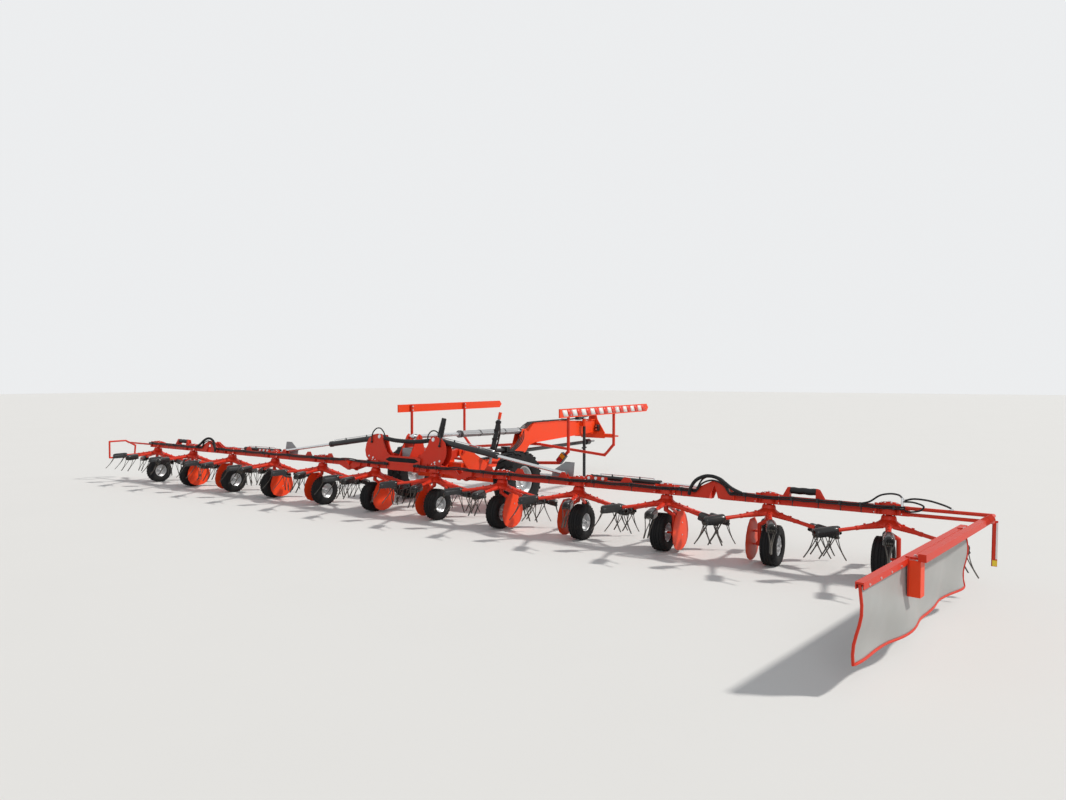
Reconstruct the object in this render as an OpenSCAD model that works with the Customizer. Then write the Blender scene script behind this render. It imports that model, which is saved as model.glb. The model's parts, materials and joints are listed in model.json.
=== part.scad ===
// Trailed twelve-rotor hay tedder on a carriage, standing in its working position.
// X runs along the row of rotors, +Y is the direction of travel and Z is up.
// Sizes are in millimetres.

/* [Row of rotors] */
// Distance between the axes of neighbouring rotors
rotor_pitch = 1085; // [1070:5:1100]
// Height of the tine arms' roots above the ground
hub_height = 520; // [515:5:560]
// Forward tilt of the rotors' axes, in degrees
rotor_tilt = 10; // [8:1:10]
// Direction of the first arm of an even rotor, in degrees
arm_phase = 40; // [0:5:60]

/* [Rotor] */
// Radius of the bell housing at its rim
bell_rim_r = 135; // [120:5:150]
// Radius of the bell housing at its top
bell_top_r = 58; // [50:1:70]
// Height of the bell's top above the arms' roots
bell_top = 74; // [60:2:74]
// Depth of the bell's rim below the arms' roots
bell_drop = 38; // [30:2:44]
// Radius of the spindle that the rotor turns on
spindle_r = 25; // [20:1:30]
// Radius of a tine arm's tube
arm_r = 17; // [14:1:20]
// Slope of the tine arms below the rotor's plane, in degrees
arm_slope = 12; // [8:1:14]
// Distance from the rotor's axis to the inner prong
inner_prong_at = 520; // [500:5:540]
// Distance from the rotor's axis to the outer prong
outer_prong_at = 680; // [660:5:690]
// Length of the cover beyond each prong
cover_end = 30; // [20:5:45]
// Width of a tine's cover
cover_w = 92; // [80:2:100]
// Height of a tine's cover
cover_h = 84; // [70:2:90]
// Thickness of a cover's wall
cover_wall = 6; // [4:1:8]
// Radius of a prong's wire
prong_r = 5; // [4:0.5:6]
// Outward lean of the prongs, in degrees
prong_lean = 27; // [20:1:30]
// Depth of the prongs' tips below the arms' roots
tip_drop = 370; // [350:5:370]
// Radius of a tine's coil
coil_r = 19; // [15:1:22]

/* [Rotor wheels] */
// Radius of a rotor's wheel
wheel_r = 200; // [190:5:205]
// Width of a rotor's wheel
wheel_w = 160; // [140:5:170]
// Sideways offset of the wheel from the rotor's axis
wheel_shift = 40; // [30:5:50]
// Radius of the wheel's rim
wheel_rim_r = 102; // [95:1:110]
// Radius of a wheel's axle
axle_r = 12.5; // [10:0.5:15]
// Radius of the leg's tube
leg_r = 20; // [16:1:22]
// Sideways offset of the leg from the rotor's axis
leg_shift = 86; // [84:1:95]
// Sideways offset of the crop guard from the rotor's axis
guard_shift = 160; // [150:5:175]
// Half the width of a crop guard
guard_half_w = 165; // [140:5:180]
// Height of a crop guard's top above the ground
guard_top = 445; // [420:5:450]
// Height of a crop guard's lower edge above the ground
guard_bottom = 30; // [25:5:50]
// Thickness of a crop guard's sheet
guard_t = 4; // [3:0.5:6]

/* [Beams] */
// Height of a beam's section
beam_h = 90; // [80:5:100]
// Depth of a beam's section
beam_d = 100; // [90:5:104]
// Height of a beam's underside above the arms' roots
beam_up = 80; // [80:1:90]
// Radius of the gear housing above a rotor
gear_case_r = 88; // [75:1:95]
// Radius of a hydraulic hose
hose_r = 10; // [8:1:11]

/* [Folding] */
// Distance from the middle of the row to an inner wing's hinge
inner_hinge_x = 1000; // [985:5:1010]
// Height of the inner hinges' pins above the arms' roots
inner_hinge_up = 45; // [40:1:50]
// Space between an inner hinge's pin and the beams' ends
inner_hinge_gap = 140; // [135:5:160]
// Height of the outer hinges' pins above the arms' roots
outer_hinge_up = 240; // [235:5:260]
// Space between an outer hinge's pin and the beams' ends
outer_hinge_gap = 60; // [50:5:80]
// Radius of a fold hinge's pin
pin_r = 15; // [12:1:18]
// Radius of the eye around a fold hinge's pin
eye_r = 30; // [26:1:34]
// Thickness of a hinge's ear
ear_t = 15; // [12:1:16]
// Gap between the ears of a hinge
ear_gap = 3; // [2:0.5:5]

/* [Cylinders] */
// Radius of a lift cylinder's barrel
lift_barrel_r = 38; // [32:1:42]
// Length of a lift cylinder's barrel from its pin
lift_barrel_len = 1030; // [1000:5:1035]
// Radius of a lift cylinder's rod
lift_rod_r = 20; // [16:1:25]
// Distance of a lift cylinder's base pin from the middle
lift_base_x = 490; // [470:5:510]
// Height of a lift cylinder's base pin above the arms' roots
lift_base_up = 510; // [490:5:530]
// Distance of a lift cylinder's rod pin from the middle
lift_eye_x = 2500; // [2450:10:2550]
// Height of a lift cylinder's rod pin above the arms' roots
lift_eye_up = 212; // [208:1:230]
// Radius of a fold cylinder's barrel
fold_barrel_r = 28; // [24:1:32]
// Length of a fold cylinder's barrel from its pin
fold_barrel_len = 860; // [800:10:900]
// Radius of a fold cylinder's rod
fold_rod_r = 14; // [12:1:18]
// Distance of a fold cylinder's base pin from the middle
fold_base_x = 2800; // [2780:10:2850]
// Height of a fold cylinder's base pin above the arms' roots
fold_base_up = 205; // [195:5:215]
// Distance of the crank's eye inside the outer hinge's pin
crank_in = 120; // [110:5:130]
// Depth of the crank's eye below the outer hinge's pin
crank_down = 50; // [40:5:60]
// Radius of the tilt cylinder's barrel
tilt_barrel_r = 48; // [40:2:55]
// Length of the tilt cylinder's barrel from its pin
tilt_barrel_len = 1560; // [1500:20:1600]
// Radius of the tilt cylinder's rod
tilt_rod_r = 27; // [22:1:32]

/* [Carriage] */
// Distance of the carriage's axle ahead of the row of rotors
axle_ahead = 1200; // [1180:10:1240]
// Radius of a carriage wheel
carriage_wheel_r = 410; // [390:5:420]
// Width of a carriage wheel
carriage_wheel_w = 300; // [270:10:320]
// Distance of a carriage wheel's middle from the machine's middle
carriage_track_half = 1000; // [980:10:1020]
// Radius of a carriage wheel's rim
carriage_rim_r = 205; // [195:5:220]
// Height of the axle's box section
axle_box = 110; // [100:5:130]
// Distance of the tilt pivot ahead of the row of rotors
tilt_pivot_ahead = 850; // [840:5:870]
// Height of the tilt pivot above the ground
tilt_pivot_z = 800; // [790:5:810]
// Distance of the tilt pivot's arms from the machine's middle
tilt_arm_x = 250; // [230:5:270]
// Radius of the tilt pivot's pins
tilt_pin_r = 25; // [20:1:30]

/* [Drawbar] */
// Distance of the drawbar's rear flange ahead of the row of rotors
drawbar_rear = 2350; // [2300:10:2400]
// Distance of the drawbar's swivel eye ahead of the row of rotors
drawbar_front = 5020; // [4950:10:5100]
// Width of the drawbar
drawbar_w = 130; // [110:5:150]
// Height of the drawbar's upper edge
drawbar_top = 1090; // [1050:10:1120]
// Height of the drawbar's lower edge
drawbar_bottom = 770; // [760:10:800]
// Radius of the drive shaft's tube
shaft_r = 32; // [26:1:36]
// Radius of the splined input shaft
input_r = 17.45; // [17:0.05:18]
// Height of the input shaft above the ground
input_z = 650; // [620:10:670]
// Radius of a lower link pin
link_pin_r = 14; // [13:0.5:18]
// Distance between the shoulders of the lower link pins
link_span = 825; // [700:5:860]
// Height of the lower link pins above the ground
link_z = 760; // [700:10:800]
// Distance of the parking stand from the machine's middle
stand_x = 128; // [120:1:140]
// Distance of the parking stand ahead of the row of rotors
stand_ahead = 4530; // [4450:10:4600]
// Radius of the stand's leg
stand_r = 27; // [22:1:32]

/* [Guard boards] */
// Distance of a guard board's posts from the machine's middle
board_post_x = 1500; // [1495:5:1540]
// Height of a guard board's upper edge above the ground
board_top = 1405; // [1360:5:1405]
// Height of a guard board
board_h = 125; // [110:5:140]
// Distance of a board's rear end ahead of the row of rotors
board_rear = 1460; // [1440:10:1480]
// Distance of a board's front end ahead of the row of rotors
board_front = 4240; // [4150:10:4300]
// Thickness of a guard board
board_t = 18; // [15:1:25]
// Radius of the bent tubes that carry the boards
post_r = 20; // [17:1:24]

/* [End deflector] */
// Distance of the deflector's pivot from the middle of the row
deflector_x = 6740; // [6700:10:6780]
// Distance of the deflector's pivot behind the row
deflector_behind = 500; // [480:10:520]
// Height of the deflector's pivot above the ground
deflector_z = 690; // [670:10:700]
// Inward angle of the deflector's arm, in degrees
deflector_turn = 8; // [6:1:10]
// Length of the deflector's arm
deflector_arm_len = 1630; // [1500:10:1700]
// Distance of the rail inside the arm
rail_in = 110; // [100:5:120]
// Distance of the rail's front end behind the pivot
rail_start = 120; // [110:10:160]
// Length of the deflector's rail
rail_len = 2310; // [2200:10:2350]
// Height of the canvas
canvas_h = 480; // [440:10:490]
// Thickness of the canvas with its hems
canvas_t = 6; // [4:1:10]
// Size of the arm's box section
deflector_box = 50; // [40:2:60]

/* [Hidden] */
$fn = 48;

// Running clearance of a pin or shaft in its bore
run = 0.05;
// Clearance between pieces that lie against each other
lie = 0.3;
// Gap that moving faces keep
clear = 6;

// An arm's tube starts inside the bell, clear of the spindle
arm_root = spindle_r + 9;

// Places along the row and in a beam's section
outer_hinge_x = 4 * rotor_pitch;
beam_mid = beam_up + beam_h / 2;
beam_top = beam_up + beam_h;
row_end_x = 5.5 * rotor_pitch + 165;

// The hinge ears lie outside the beams: those of the inner part first
ear_in = beam_d / 2 + clear;
ear_out = ear_in + ear_t + ear_gap;
pin_end = ear_out + ear_t + 4;
// The fold cylinder lies ahead of the ears, beside its crank
crank_t = 12;
fold_eye_t = 22;
crank_v = ear_out + ear_t + 5;
fold_v = crank_v + crank_t + clear + fold_rod_r;
fold_eye_v = fold_v - fold_rod_r - 1;

// The tilt cylinder's pins, behind the drawbar's mast and on the frame's mast
tilt_base = [0, drawbar_rear + 350, drawbar_top - 110];
tilt_eye = [0, 200, 1040];

// The hoop that guards the left end of the row
hoop_x = -6870;
hoop_r = 15;

// The headstock's swivel, and how far its plate lies ahead of it
swivel_y = drawbar_front - 62;
headstock_ahead = 108;

// The origin is the middle of the footprint
rear_reach = deflector_behind + (rail_start + rail_len) * cos(deflector_turn)
    - (rail_in - 25) * sin(deflector_turn);
front_reach = swivel_y + headstock_ahead + 40 + 38;
right_reach = deflector_x + 82;
left_reach = -hoop_x + hoop_r;
origin = [(right_reach - left_reach) / 2, (front_reach - rear_reach) / 2, 0];

RED = [0.62, 0.10, 0.05];
ORANGE = [0.87, 0.24, 0.06];
BLACK = [0.07, 0.07, 0.08];
STEEL = [0.72, 0.73, 0.74];

function rotor_x(n) = (n - 6.5) * rotor_pitch;
// Even rotors have their guard on the right, odd ones on the left
function guard_side(n) = n % 2 == 0 ? 1 : -1;
function has_guard(n) = n > 1 && n < 12;
// The first arm's direction: neighbours stand half a step apart and mirror each other
function first_arm(n) = n % 2 == 0 ? arm_phase : 210 - arm_phase;

// Moves a piece from the row's middle on the ground to the part's origin
module placed() {
    translate(-origin) children();
}

// The tilted frame of the row: its x runs along the beams, its z along the rotors' axes
module row_frame() {
    placed() translate([0, 0, hub_height]) rotate([-rotor_tilt, 0, 0]) children();
}

// Mirrors the right side's piece to the left
module on_side(side) {
    mirror([side < 0 ? 1 : 0, 0, 0]) children();
}

// A tube or rod between two points
module rod(a, b, r) {
    d = b - a;
    translate(a)
        rotate([0, acos(d[2] / norm(d)), atan2(d[1], d[0])])
            cylinder(h = norm(d), r = r);
}

// A bent tube through a list of points, with a ball a little wider than the tube at each bend
module bent_tube(points, r) {
    for (i = [0 : len(points) - 2]) rod(points[i], points[i + 1], r);
    for (i = [1 : len(points) - 2]) translate(points[i]) sphere(r = r + 0.4);
}

// A plate in the x-z plane, from y = v to v + t
module plate_xz(points, v, t) {
    translate([0, v + t, 0]) rotate([90, 0, 0]) linear_extrude(t) polygon(points);
}

// A plate in the y-z plane, from x = u to u + t
module plate_yz(points, u, t) {
    translate([u, 0, 0]) rotate([90, 0, 90]) linear_extrude(t) polygon(points);
}

// A round bar along y
module bar_y(x, z, v, length, r) {
    translate([x, v + length, z]) rotate([90, 0, 0]) cylinder(h = length, r = r);
}

// A round bar along x
module bar_x(u, y, z, length, r) {
    translate([u, y, z]) rotate([0, 90, 0]) cylinder(h = length, r = r);
}

// One tine: two sprung prongs that hang from a coil under the arm's cover
module prong(at) {
    top = -at * tan(arm_slope) - cover_h / 2 + coil_r;
    length = (tip_drop + top) / cos(prong_lean);
    translate([at, 0, top])
        rotate([0, 180 - prong_lean, 0])
            cylinder(h = length, r = prong_r, $fn = 16);
    bar_y(at, top, -cover_w / 2 + cover_wall, cover_w - 2 * cover_wall, coil_r);
}

// The cover over the tines at an arm's end: a long cap, open below, round on top
module tine_cover() {
    length = outer_prong_at - inner_prong_at + 2 * cover_end;
    inner_w = cover_w - 2 * cover_wall;
    translate([inner_prong_at - cover_end, 0, 0])
        rotate([90, 0, 90])
            difference() {
                linear_extrude(length) {
                    intersection() {
                        circle(r = cover_w / 2);
                        translate([-cover_w / 2, 0]) square([cover_w, cover_w / 2]);
                    }
                    translate([-cover_w / 2, -cover_h / 2]) square([cover_w, cover_h / 2]);
                }
                translate([0, 0, cover_wall])
                    linear_extrude(length - 2 * cover_wall)
                        translate([-inner_w / 2, -cover_h]) square([inner_w, cover_h]);
            }
}

// One arm of a rotor with its cover and its tine
module tine_arm() {
    rotate([0, arm_slope, 0]) {
        bar_x(arm_root, 0, 0, inner_prong_at - arm_root, arm_r);
        tine_cover();
    }
    prong(inner_prong_at);
    prong(outer_prong_at);
}

// The bell housing that carries the arms, bored for the spindle
module bell() {
    rotate_extrude($fn = 64)
        polygon([
            [spindle_r + run, bell_top], [bell_top_r, bell_top], [bell_top_r + 6, bell_top - 14],
            [bell_top_r + 10, bell_top - 40], [bell_rim_r - 28, 6], [bell_rim_r - 6, -12],
            [bell_rim_r, -20], [bell_rim_r, -bell_drop + 6], [bell_rim_r - 8, -bell_drop],
            [spindle_r + run, -bell_drop]
        ]);
}

// A rotor: six tined arms on a bell
module rotor(n) {
    color(RED)
        row_frame() translate([rotor_x(n), 0, 0]) rotate([0, 0, first_arm(n)]) {
            bell();
            for (k = [0 : 5]) rotate([0, 0, 60 * k]) tine_arm();
        }
}

// A rotor's wheel: tyre and rim in one, turned about its axle
module wheel(n) {
    color(BLACK)
        placed()
            translate([rotor_x(n) - guard_side(n) * wheel_shift, 0, wheel_r])
                rotate([0, 90, 0])
                    rotate_extrude($fn = 64)
                        polygon(wheel_section(wheel_r, wheel_w, wheel_rim_r, axle_r + run, 30));
}

// Half-section of a wheel: radius and place across, with the disc thickness at the hub
function wheel_section(r, w, rim_r, bore_r, hub_half) =
    let (right = [
        [bore_r, hub_half], [bore_r + 24, hub_half], [bore_r + 30, 8], [rim_r - 12, 8],
        [rim_r - 6, w / 2 - 24], [rim_r + 4, w / 2 - 10], [rim_r + 24, w / 2],
        [r - 40, w / 2 - 1], [r - 14, w / 2 - 12], [r - 3, w / 2 - 34], [r, w / 2 - 60]
    ])
    concat(right, [for (i = [len(right) - 1 : -1 : 0]) [right[i][0], -right[i][1]]]);

// The spindle, leg and axle that carry a rotor's wheel
module wheel_leg(n) {
    side = guard_side(n);
    knee = [0, -sin(rotor_tilt) * 80, hub_height - 78];
    elbow = [side * leg_shift, knee[1] / 2, wheel_r * 1.95];
    foot = [side * leg_shift, 0, wheel_r];
    row_frame() translate([rotor_x(n), 0, -80]) cylinder(h = beam_up + 90, r = spindle_r);
    placed() translate([rotor_x(n), 0, 0]) {
        translate(knee) sphere(r = spindle_r);
        bent_tube([knee, elbow, foot], leg_r);
        translate(foot) rotate([0, 90, 0])
            cylinder(h = 2 * leg_r, r = leg_r + 6, center = true);
        bar_x(-wheel_w / 2 - wheel_shift, 0, wheel_r, wheel_w + 2 * wheel_shift, axle_r);
    }
}

// The crop guard beside a rotor's wheel, on two stays from the leg
module crop_guard(n) {
    side = guard_side(n);
    placed() translate([rotor_x(n) + side * guard_shift, 0, 0]) {
        translate([-guard_t / 2, 0, 0]) rotate([90, 0, 90]) linear_extrude(guard_t) {
            translate([0, guard_bottom + guard_half_w]) circle(r = guard_half_w);
            polygon([
                [-guard_half_w, guard_bottom + guard_half_w], [guard_half_w, guard_bottom + guard_half_w],
                [guard_half_w * 0.86, guard_top - 90], [guard_half_w * 0.42, guard_top],
                [-guard_half_w * 0.42, guard_top], [-guard_half_w * 0.86, guard_top - 90]
            ]);
        }
        for (z = [wheel_r * 0.95, wheel_r * 1.6])
            bar_x(side > 0 ? leg_shift - guard_shift : 0, 0, z, guard_shift - leg_shift, 9);
    }
}

// A stretch of beam with the gear housings of its rotors
module beam(from, to, rotors) {
    row_frame() {
        translate([from, -beam_d / 2, beam_up]) cube([to - from, beam_d, beam_h]);
        for (n = rotors) translate([rotor_x(n), 0, 0]) {
            translate([0, 0, beam_up]) cylinder(h = beam_h + 16, r = gear_case_r);
            translate([0, 0, beam_top + 16]) cylinder(h = 12, r = gear_case_r * 0.6);
            for (side = [-1, 1])
                translate([side * (gear_case_r + 14) - 8, -gear_case_r, beam_up - 0.5])
                    cube([16, gear_case_r + beam_d / 2 + 10, beam_h + 12]);
        }
    }
}

// The legs and guards under a stretch of beam
module running_gear(rotors) {
    for (n = rotors) {
        wheel_leg(n);
        if (has_guard(n)) crop_guard(n);
    }
}

// The pair of ears at the end of a beam, reaching to a fold hinge's pin
module hinge_ears(points, pin, v, bore, spacer) {
    for (flip = [0, 1]) mirror([0, flip, 0]) {
        difference() {
            union() {
                plate_xz(points, v, ear_t);
                bar_y(pin[0], pin[1], v, ear_t, eye_r);
            }
            if (bore) bar_y(pin[0], pin[1], v - 1, ear_t + 2, pin_r + run);
        }
        translate([spacer[0], beam_d / 2 - 1, beam_up + 10])
            cube([spacer[1] - spacer[0], v - beam_d / 2 + 2, beam_h - 20]);
    }
}

// A fold hinge's pin, from behind the rear ears to v
module hinge_pin(pin, v) {
    bar_y(pin[0], pin[1], -pin_end, pin_end + v, pin_r);
}

// Outline of an inner hinge's ear: away is -1 on the inner side of the pin and 1 outside
function low_ear(away) = [
    [inner_hinge_x, inner_hinge_up - eye_r * 0.98],
    [inner_hinge_x + away * (inner_hinge_gap + 70), beam_up + 6],
    [inner_hinge_x + away * (inner_hinge_gap + 70), beam_top - 6],
    [inner_hinge_x + away * (inner_hinge_gap - 40), beam_top - 12],
    [inner_hinge_x, inner_hinge_up + eye_r * 0.98]
];

// Outline of an outer hinge's ear, with the same meaning of away
function high_ear(away) = [
    [outer_hinge_x + away * eye_r * 0.3, outer_hinge_up - eye_r * 0.9],
    [outer_hinge_x + away * (outer_hinge_gap - 8), beam_up + 6],
    [outer_hinge_x + away * (outer_hinge_gap + 150), beam_up + 6],
    [outer_hinge_x + away * (outer_hinge_gap + 150), beam_top - 6],
    [outer_hinge_x + away * eye_r * 0.5, outer_hinge_up + eye_r * 0.85]
];

// The middle of the row: beam, hinge ears, cylinder plates, mast and tilt arms
module centre_frame() {
    color(RED) {
        beam(-inner_hinge_x + inner_hinge_gap, inner_hinge_x - inner_hinge_gap, [6, 7]);
        row_frame() {
            for (side = [-1, 1]) on_side(side) {
                hinge_ears(low_ear(-1), [inner_hinge_x, inner_hinge_up], ear_in, false,
                    [inner_hinge_x - inner_hinge_gap - 70, inner_hinge_x - inner_hinge_gap - 10]);
                hinge_pin([inner_hinge_x, inner_hinge_up], pin_end);
                for (v = [-lift_barrel_r - 14, lift_barrel_r]) {
                    plate_xz(lift_plate, v, 14);
                    bar_y(lift_base_x, lift_base_up, v, 14, 34);
                }
                bar_y(lift_base_x, lift_base_up, -lift_barrel_r - 20, 2 * lift_barrel_r + 40, pin_r);
                plate_yz(tilt_arm, tilt_arm_x - 30, 60);
            }
            translate([-220, -beam_d / 2 - 30, beam_up - 10]) cube([440, beam_d + 30, beam_h + 40]);
        }
        placed() {
            for (side = [-1, 1]) on_side(side) {
                bar_x(tilt_arm_x - 38, tilt_pivot_ahead, tilt_pivot_z, 76, 52);
                bar_x(tilt_arm_x - 30, tilt_pivot_ahead, tilt_pivot_z, 120, tilt_pin_r);
                plate_yz(mast_side, gearbox_w / 2, 14);
                bar_x(gearbox_w / 2, tilt_eye[1], tilt_eye[2], 22, 20);
            }
        }
        running_gear([6, 7]);
    }
}

// Side outline of the plates that hold a lift cylinder's base pin
lift_plate = [
    [lift_base_x - 230, beam_top - 2], [lift_base_x + 150, beam_top - 2],
    [lift_base_x + 60, lift_base_up - 120], [lift_base_x + 33, lift_base_up + 6],
    [lift_base_x - 33, lift_base_up + 6], [lift_base_x - 110, lift_base_up - 120]
];

// Side outline of the arms that reach forward to the tilt pivot, in the row's tilted frame
pivot_v = tilt_pivot_ahead * cos(rotor_tilt) - (tilt_pivot_z - hub_height) * sin(rotor_tilt);
pivot_w = tilt_pivot_ahead * sin(rotor_tilt) + (tilt_pivot_z - hub_height) * cos(rotor_tilt);
tilt_arm = [
    [beam_d / 2 - 2, beam_up], [beam_d / 2 + 120, beam_up + 20], [pivot_v, pivot_w - 50],
    [pivot_v, pivot_w + 50], [beam_d / 2 + 100, beam_top + 110], [beam_d / 2 - 60, beam_top + 130],
    [beam_d / 2 - 60, beam_top - 2], [beam_d / 2 - 2, beam_top - 2]
];

gearbox_w = 180;
// Side outline of the mast that the tilt cylinder's rod pulls on
mast_side = [
    [-60, hub_height + beam_top - 10], [tilt_eye[1] + 120, hub_height + beam_top + 40],
    [tilt_eye[1] + 40, tilt_eye[2] + 10], [tilt_eye[1] - 10, tilt_eye[2] + 38],
    [tilt_eye[1] - 45, tilt_eye[2] + 10]
];

// The gearbox between the mast's plates, with its shaft to the joint on the tilt pivot's axis
module gearbox() {
    box_z = hub_height + beam_top + 130;
    color(STEEL) placed() {
        translate([-gearbox_w / 2 + lie, 60, box_z - 70]) cube([gearbox_w - 2 * lie, 190, 140]);
        rod([0, 240, box_z], [0, tilt_pivot_ahead - 60, tilt_pivot_z], shaft_r);
        translate([0, tilt_pivot_ahead - 75, tilt_pivot_z]) sphere(r = 48);
    }
}

// The tilt cylinder: its barrel on the drawbar and its rod to the frame's mast
module tilt_barrel() {
    dir = (tilt_eye - tilt_base) / norm(tilt_eye - tilt_base);
    color(BLACK) placed() difference() {
        union() {
            rod(tilt_base + dir * 40, tilt_base + dir * tilt_barrel_len, tilt_barrel_r);
            bar_x(-tilt_barrel_r, tilt_base[1], tilt_base[2], 2 * tilt_barrel_r, 42);
        }
        bar_x(-tilt_barrel_r - 1, tilt_base[1], tilt_base[2], 2 * tilt_barrel_r + 2, 20 + run);
        rod(tilt_base + dir * 60, tilt_base + dir * (tilt_barrel_len + 1), tilt_rod_r + lie);
    }
}

module tilt_rod() {
    dir = (tilt_eye - tilt_base) / norm(tilt_eye - tilt_base);
    stroke_start = norm(tilt_eye - tilt_base) - tilt_barrel_len;
    color(STEEL) placed() {
        rod(tilt_eye - dir * (stroke_start + 740), tilt_eye - dir * 30, tilt_rod_r);
        bar_x(-tilt_rod_r, tilt_eye[1], tilt_eye[2], 2 * tilt_rod_r, 38);
        bar_x(-gearbox_w / 2 + 1, tilt_eye[1], tilt_eye[2], gearbox_w - 2, 20);
    }
}

// An inner wing: beam, ears at both hinges, cylinder brackets and the gear under three rotors
module inner_wing(side) {
    rotors = side > 0 ? [8, 9, 10] : [3, 4, 5];
    from = inner_hinge_x + inner_hinge_gap;
    to = outer_hinge_x - outer_hinge_gap;
    color(RED) {
        beam(side > 0 ? from : -to, side > 0 ? to : -from, rotors);
        row_frame() on_side(side) {
            hinge_ears(low_ear(1), [inner_hinge_x, inner_hinge_up], ear_out, true,
                [inner_hinge_x + inner_hinge_gap + 10, inner_hinge_x + inner_hinge_gap + 70]);
            hinge_ears(high_ear(-1), [outer_hinge_x, outer_hinge_up], ear_in, false,
                [outer_hinge_x - outer_hinge_gap - 140, outer_hinge_x - outer_hinge_gap - 20]);
            hinge_pin([outer_hinge_x, outer_hinge_up], crank_v + crank_t + 2);
            for (v = [-lug_v - lug_t, lug_v]) plate_xz(eye_lug(lift_eye_x, lift_eye_up), v, lug_t);
            for (v = [-lug_v - lug_t - 6, lug_v]) bar_y(lift_eye_x, lift_eye_up, v, lug_t + 6, pin_r);
            plate_xz(eye_lug(fold_base_x, fold_base_up), beam_d / 2 - 16, 24);
            bar_y(fold_base_x, fold_base_up, beam_d / 2 - 10,
                fold_v + fold_eye_t / 2 + 8 - beam_d / 2 + 10, pin_r);
        }
        running_gear(rotors);
    }
}

// The lugs of a lift cylinder's rod stand either side of its eye
lug_t = 10;
lug_v = lift_rod_r + 4;

// Outline of a lug that stands on a beam and holds a pin
function eye_lug(x, up) = [
    [x - 60, beam_top - 2], [x + 60, beam_top - 2], [x + 20, up + 16], [x - 20, up + 16]
];

// An outer wing: beam, ears, crank, rest brackets and the gear under two rotors
module outer_wing(side) {
    rotors = side > 0 ? [11, 12] : [1, 2];
    from = outer_hinge_x + outer_hinge_gap;
    crank_eye = [outer_hinge_x - crank_in, outer_hinge_up - crank_down];
    color(RED) {
        beam(side > 0 ? from : -row_end_x, side > 0 ? row_end_x : -from, rotors);
        row_frame() on_side(side) {
            difference() {
                for (flip = [0, 1]) mirror([0, flip, 0]) {
                    plate_xz(high_ear(1), ear_out, ear_t);
                    bar_y(outer_hinge_x, outer_hinge_up, ear_out, ear_t, eye_r);
                    translate([from + 20, beam_d / 2 - 1, beam_up + 10])
                        cube([110, ear_out - beam_d / 2 + 2, beam_h - 20]);
                }
                bar_y(outer_hinge_x, outer_hinge_up, -ear_out - ear_t - 1,
                    2 * (ear_out + ear_t) + 2, pin_r + run);
            }
            difference() {
                union() {
                    plate_xz([
                        [outer_hinge_x, outer_hinge_up - eye_r], crank_eye - [0, 24],
                        crank_eye - [20, 0], crank_eye + [0, 24], [outer_hinge_x, outer_hinge_up + eye_r]
                    ], crank_v, crank_t);
                    bar_y(outer_hinge_x, outer_hinge_up, ear_out + ear_t - 1,
                        crank_v + crank_t - ear_out - ear_t + 1, eye_r);
                    bar_y(crank_eye[0], crank_eye[1], crank_v, fold_eye_v - 1 - crank_v, 24);
                }
                bar_y(outer_hinge_x, outer_hinge_up, ear_out + ear_t - 2,
                    crank_v + crank_t - ear_out - ear_t + 3, pin_r + run);
            }
            for (x = [rest_from, rest_to - 12])
                plate_yz([[-40, beam_top - 2], [40, beam_top - 2], [30, beam_top + 92],
                    [-30, beam_top + 92]], x, 12);
        }
        running_gear(rotors);
        if (side > 0) deflector_bracket();
        else end_hoop();
    }
}

// The padded bar that the folded wing rests on lies between two brackets
rest_from = 5070;
rest_to = 5340;

// Both ends of the row carry bars along the beam's rear face, clear of the lift cylinders
// that they fold over
end_bar_r = 16;
end_bar_v = -(beam_d / 2 + end_bar_r - 3);
end_bar_from = row_end_x - 60;

// The bars at the right end that carry the deflector's pivot, one above the other
module deflector_bracket() {
    boss = [deflector_x + 43, end_bar_v - 420, beam_mid - 9];
    row_frame()
        for (up = [-1, 1])
            bent_tube([[end_bar_from, end_bar_v, beam_mid + up * 27], [boss[0], end_bar_v,
                beam_mid + up * 27], boss + [0, 0, up * 14]], end_bar_r, $fn = 24);
    placed() translate([deflector_x, -deflector_behind, deflector_z]) rotate(deflector_axis_turn) {
        translate([0, 0, 41]) cylinder(h = 44, r = 32);
        translate([0, 0, -38]) cylinder(h = 123, r = pin_r);
    }
}

// The hoop that guards the row's left end
module end_hoop() {
    start = [-end_bar_from, end_bar_v, beam_mid];
    loop = [[-380, 400], [-380, 690], [-90, 690], [90, 590], [70, 380]];
    row_frame() bent_tube([start, [hoop_x, end_bar_v, beam_mid]], hoop_r, $fn = 24);
    placed() {
        for (k = [0 : len(loop) - 1]) {
            next = loop[(k + 1) % len(loop)];
            rod([hoop_x, loop[k][0], loop[k][1]], [hoop_x, next[0], next[1]], hoop_r, $fn = 24);
            translate([hoop_x, loop[k][0], loop[k][1]]) sphere(r = hoop_r + 0.4, $fn = 24);
        }
    }
}

// The deflector's pin leans outward and forward, so that one turn of 120 degrees
// swings the arm up and in and lays the canvas flat behind the beam
deflector_axis_turn = [0, 62.02, 39.28];

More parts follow.
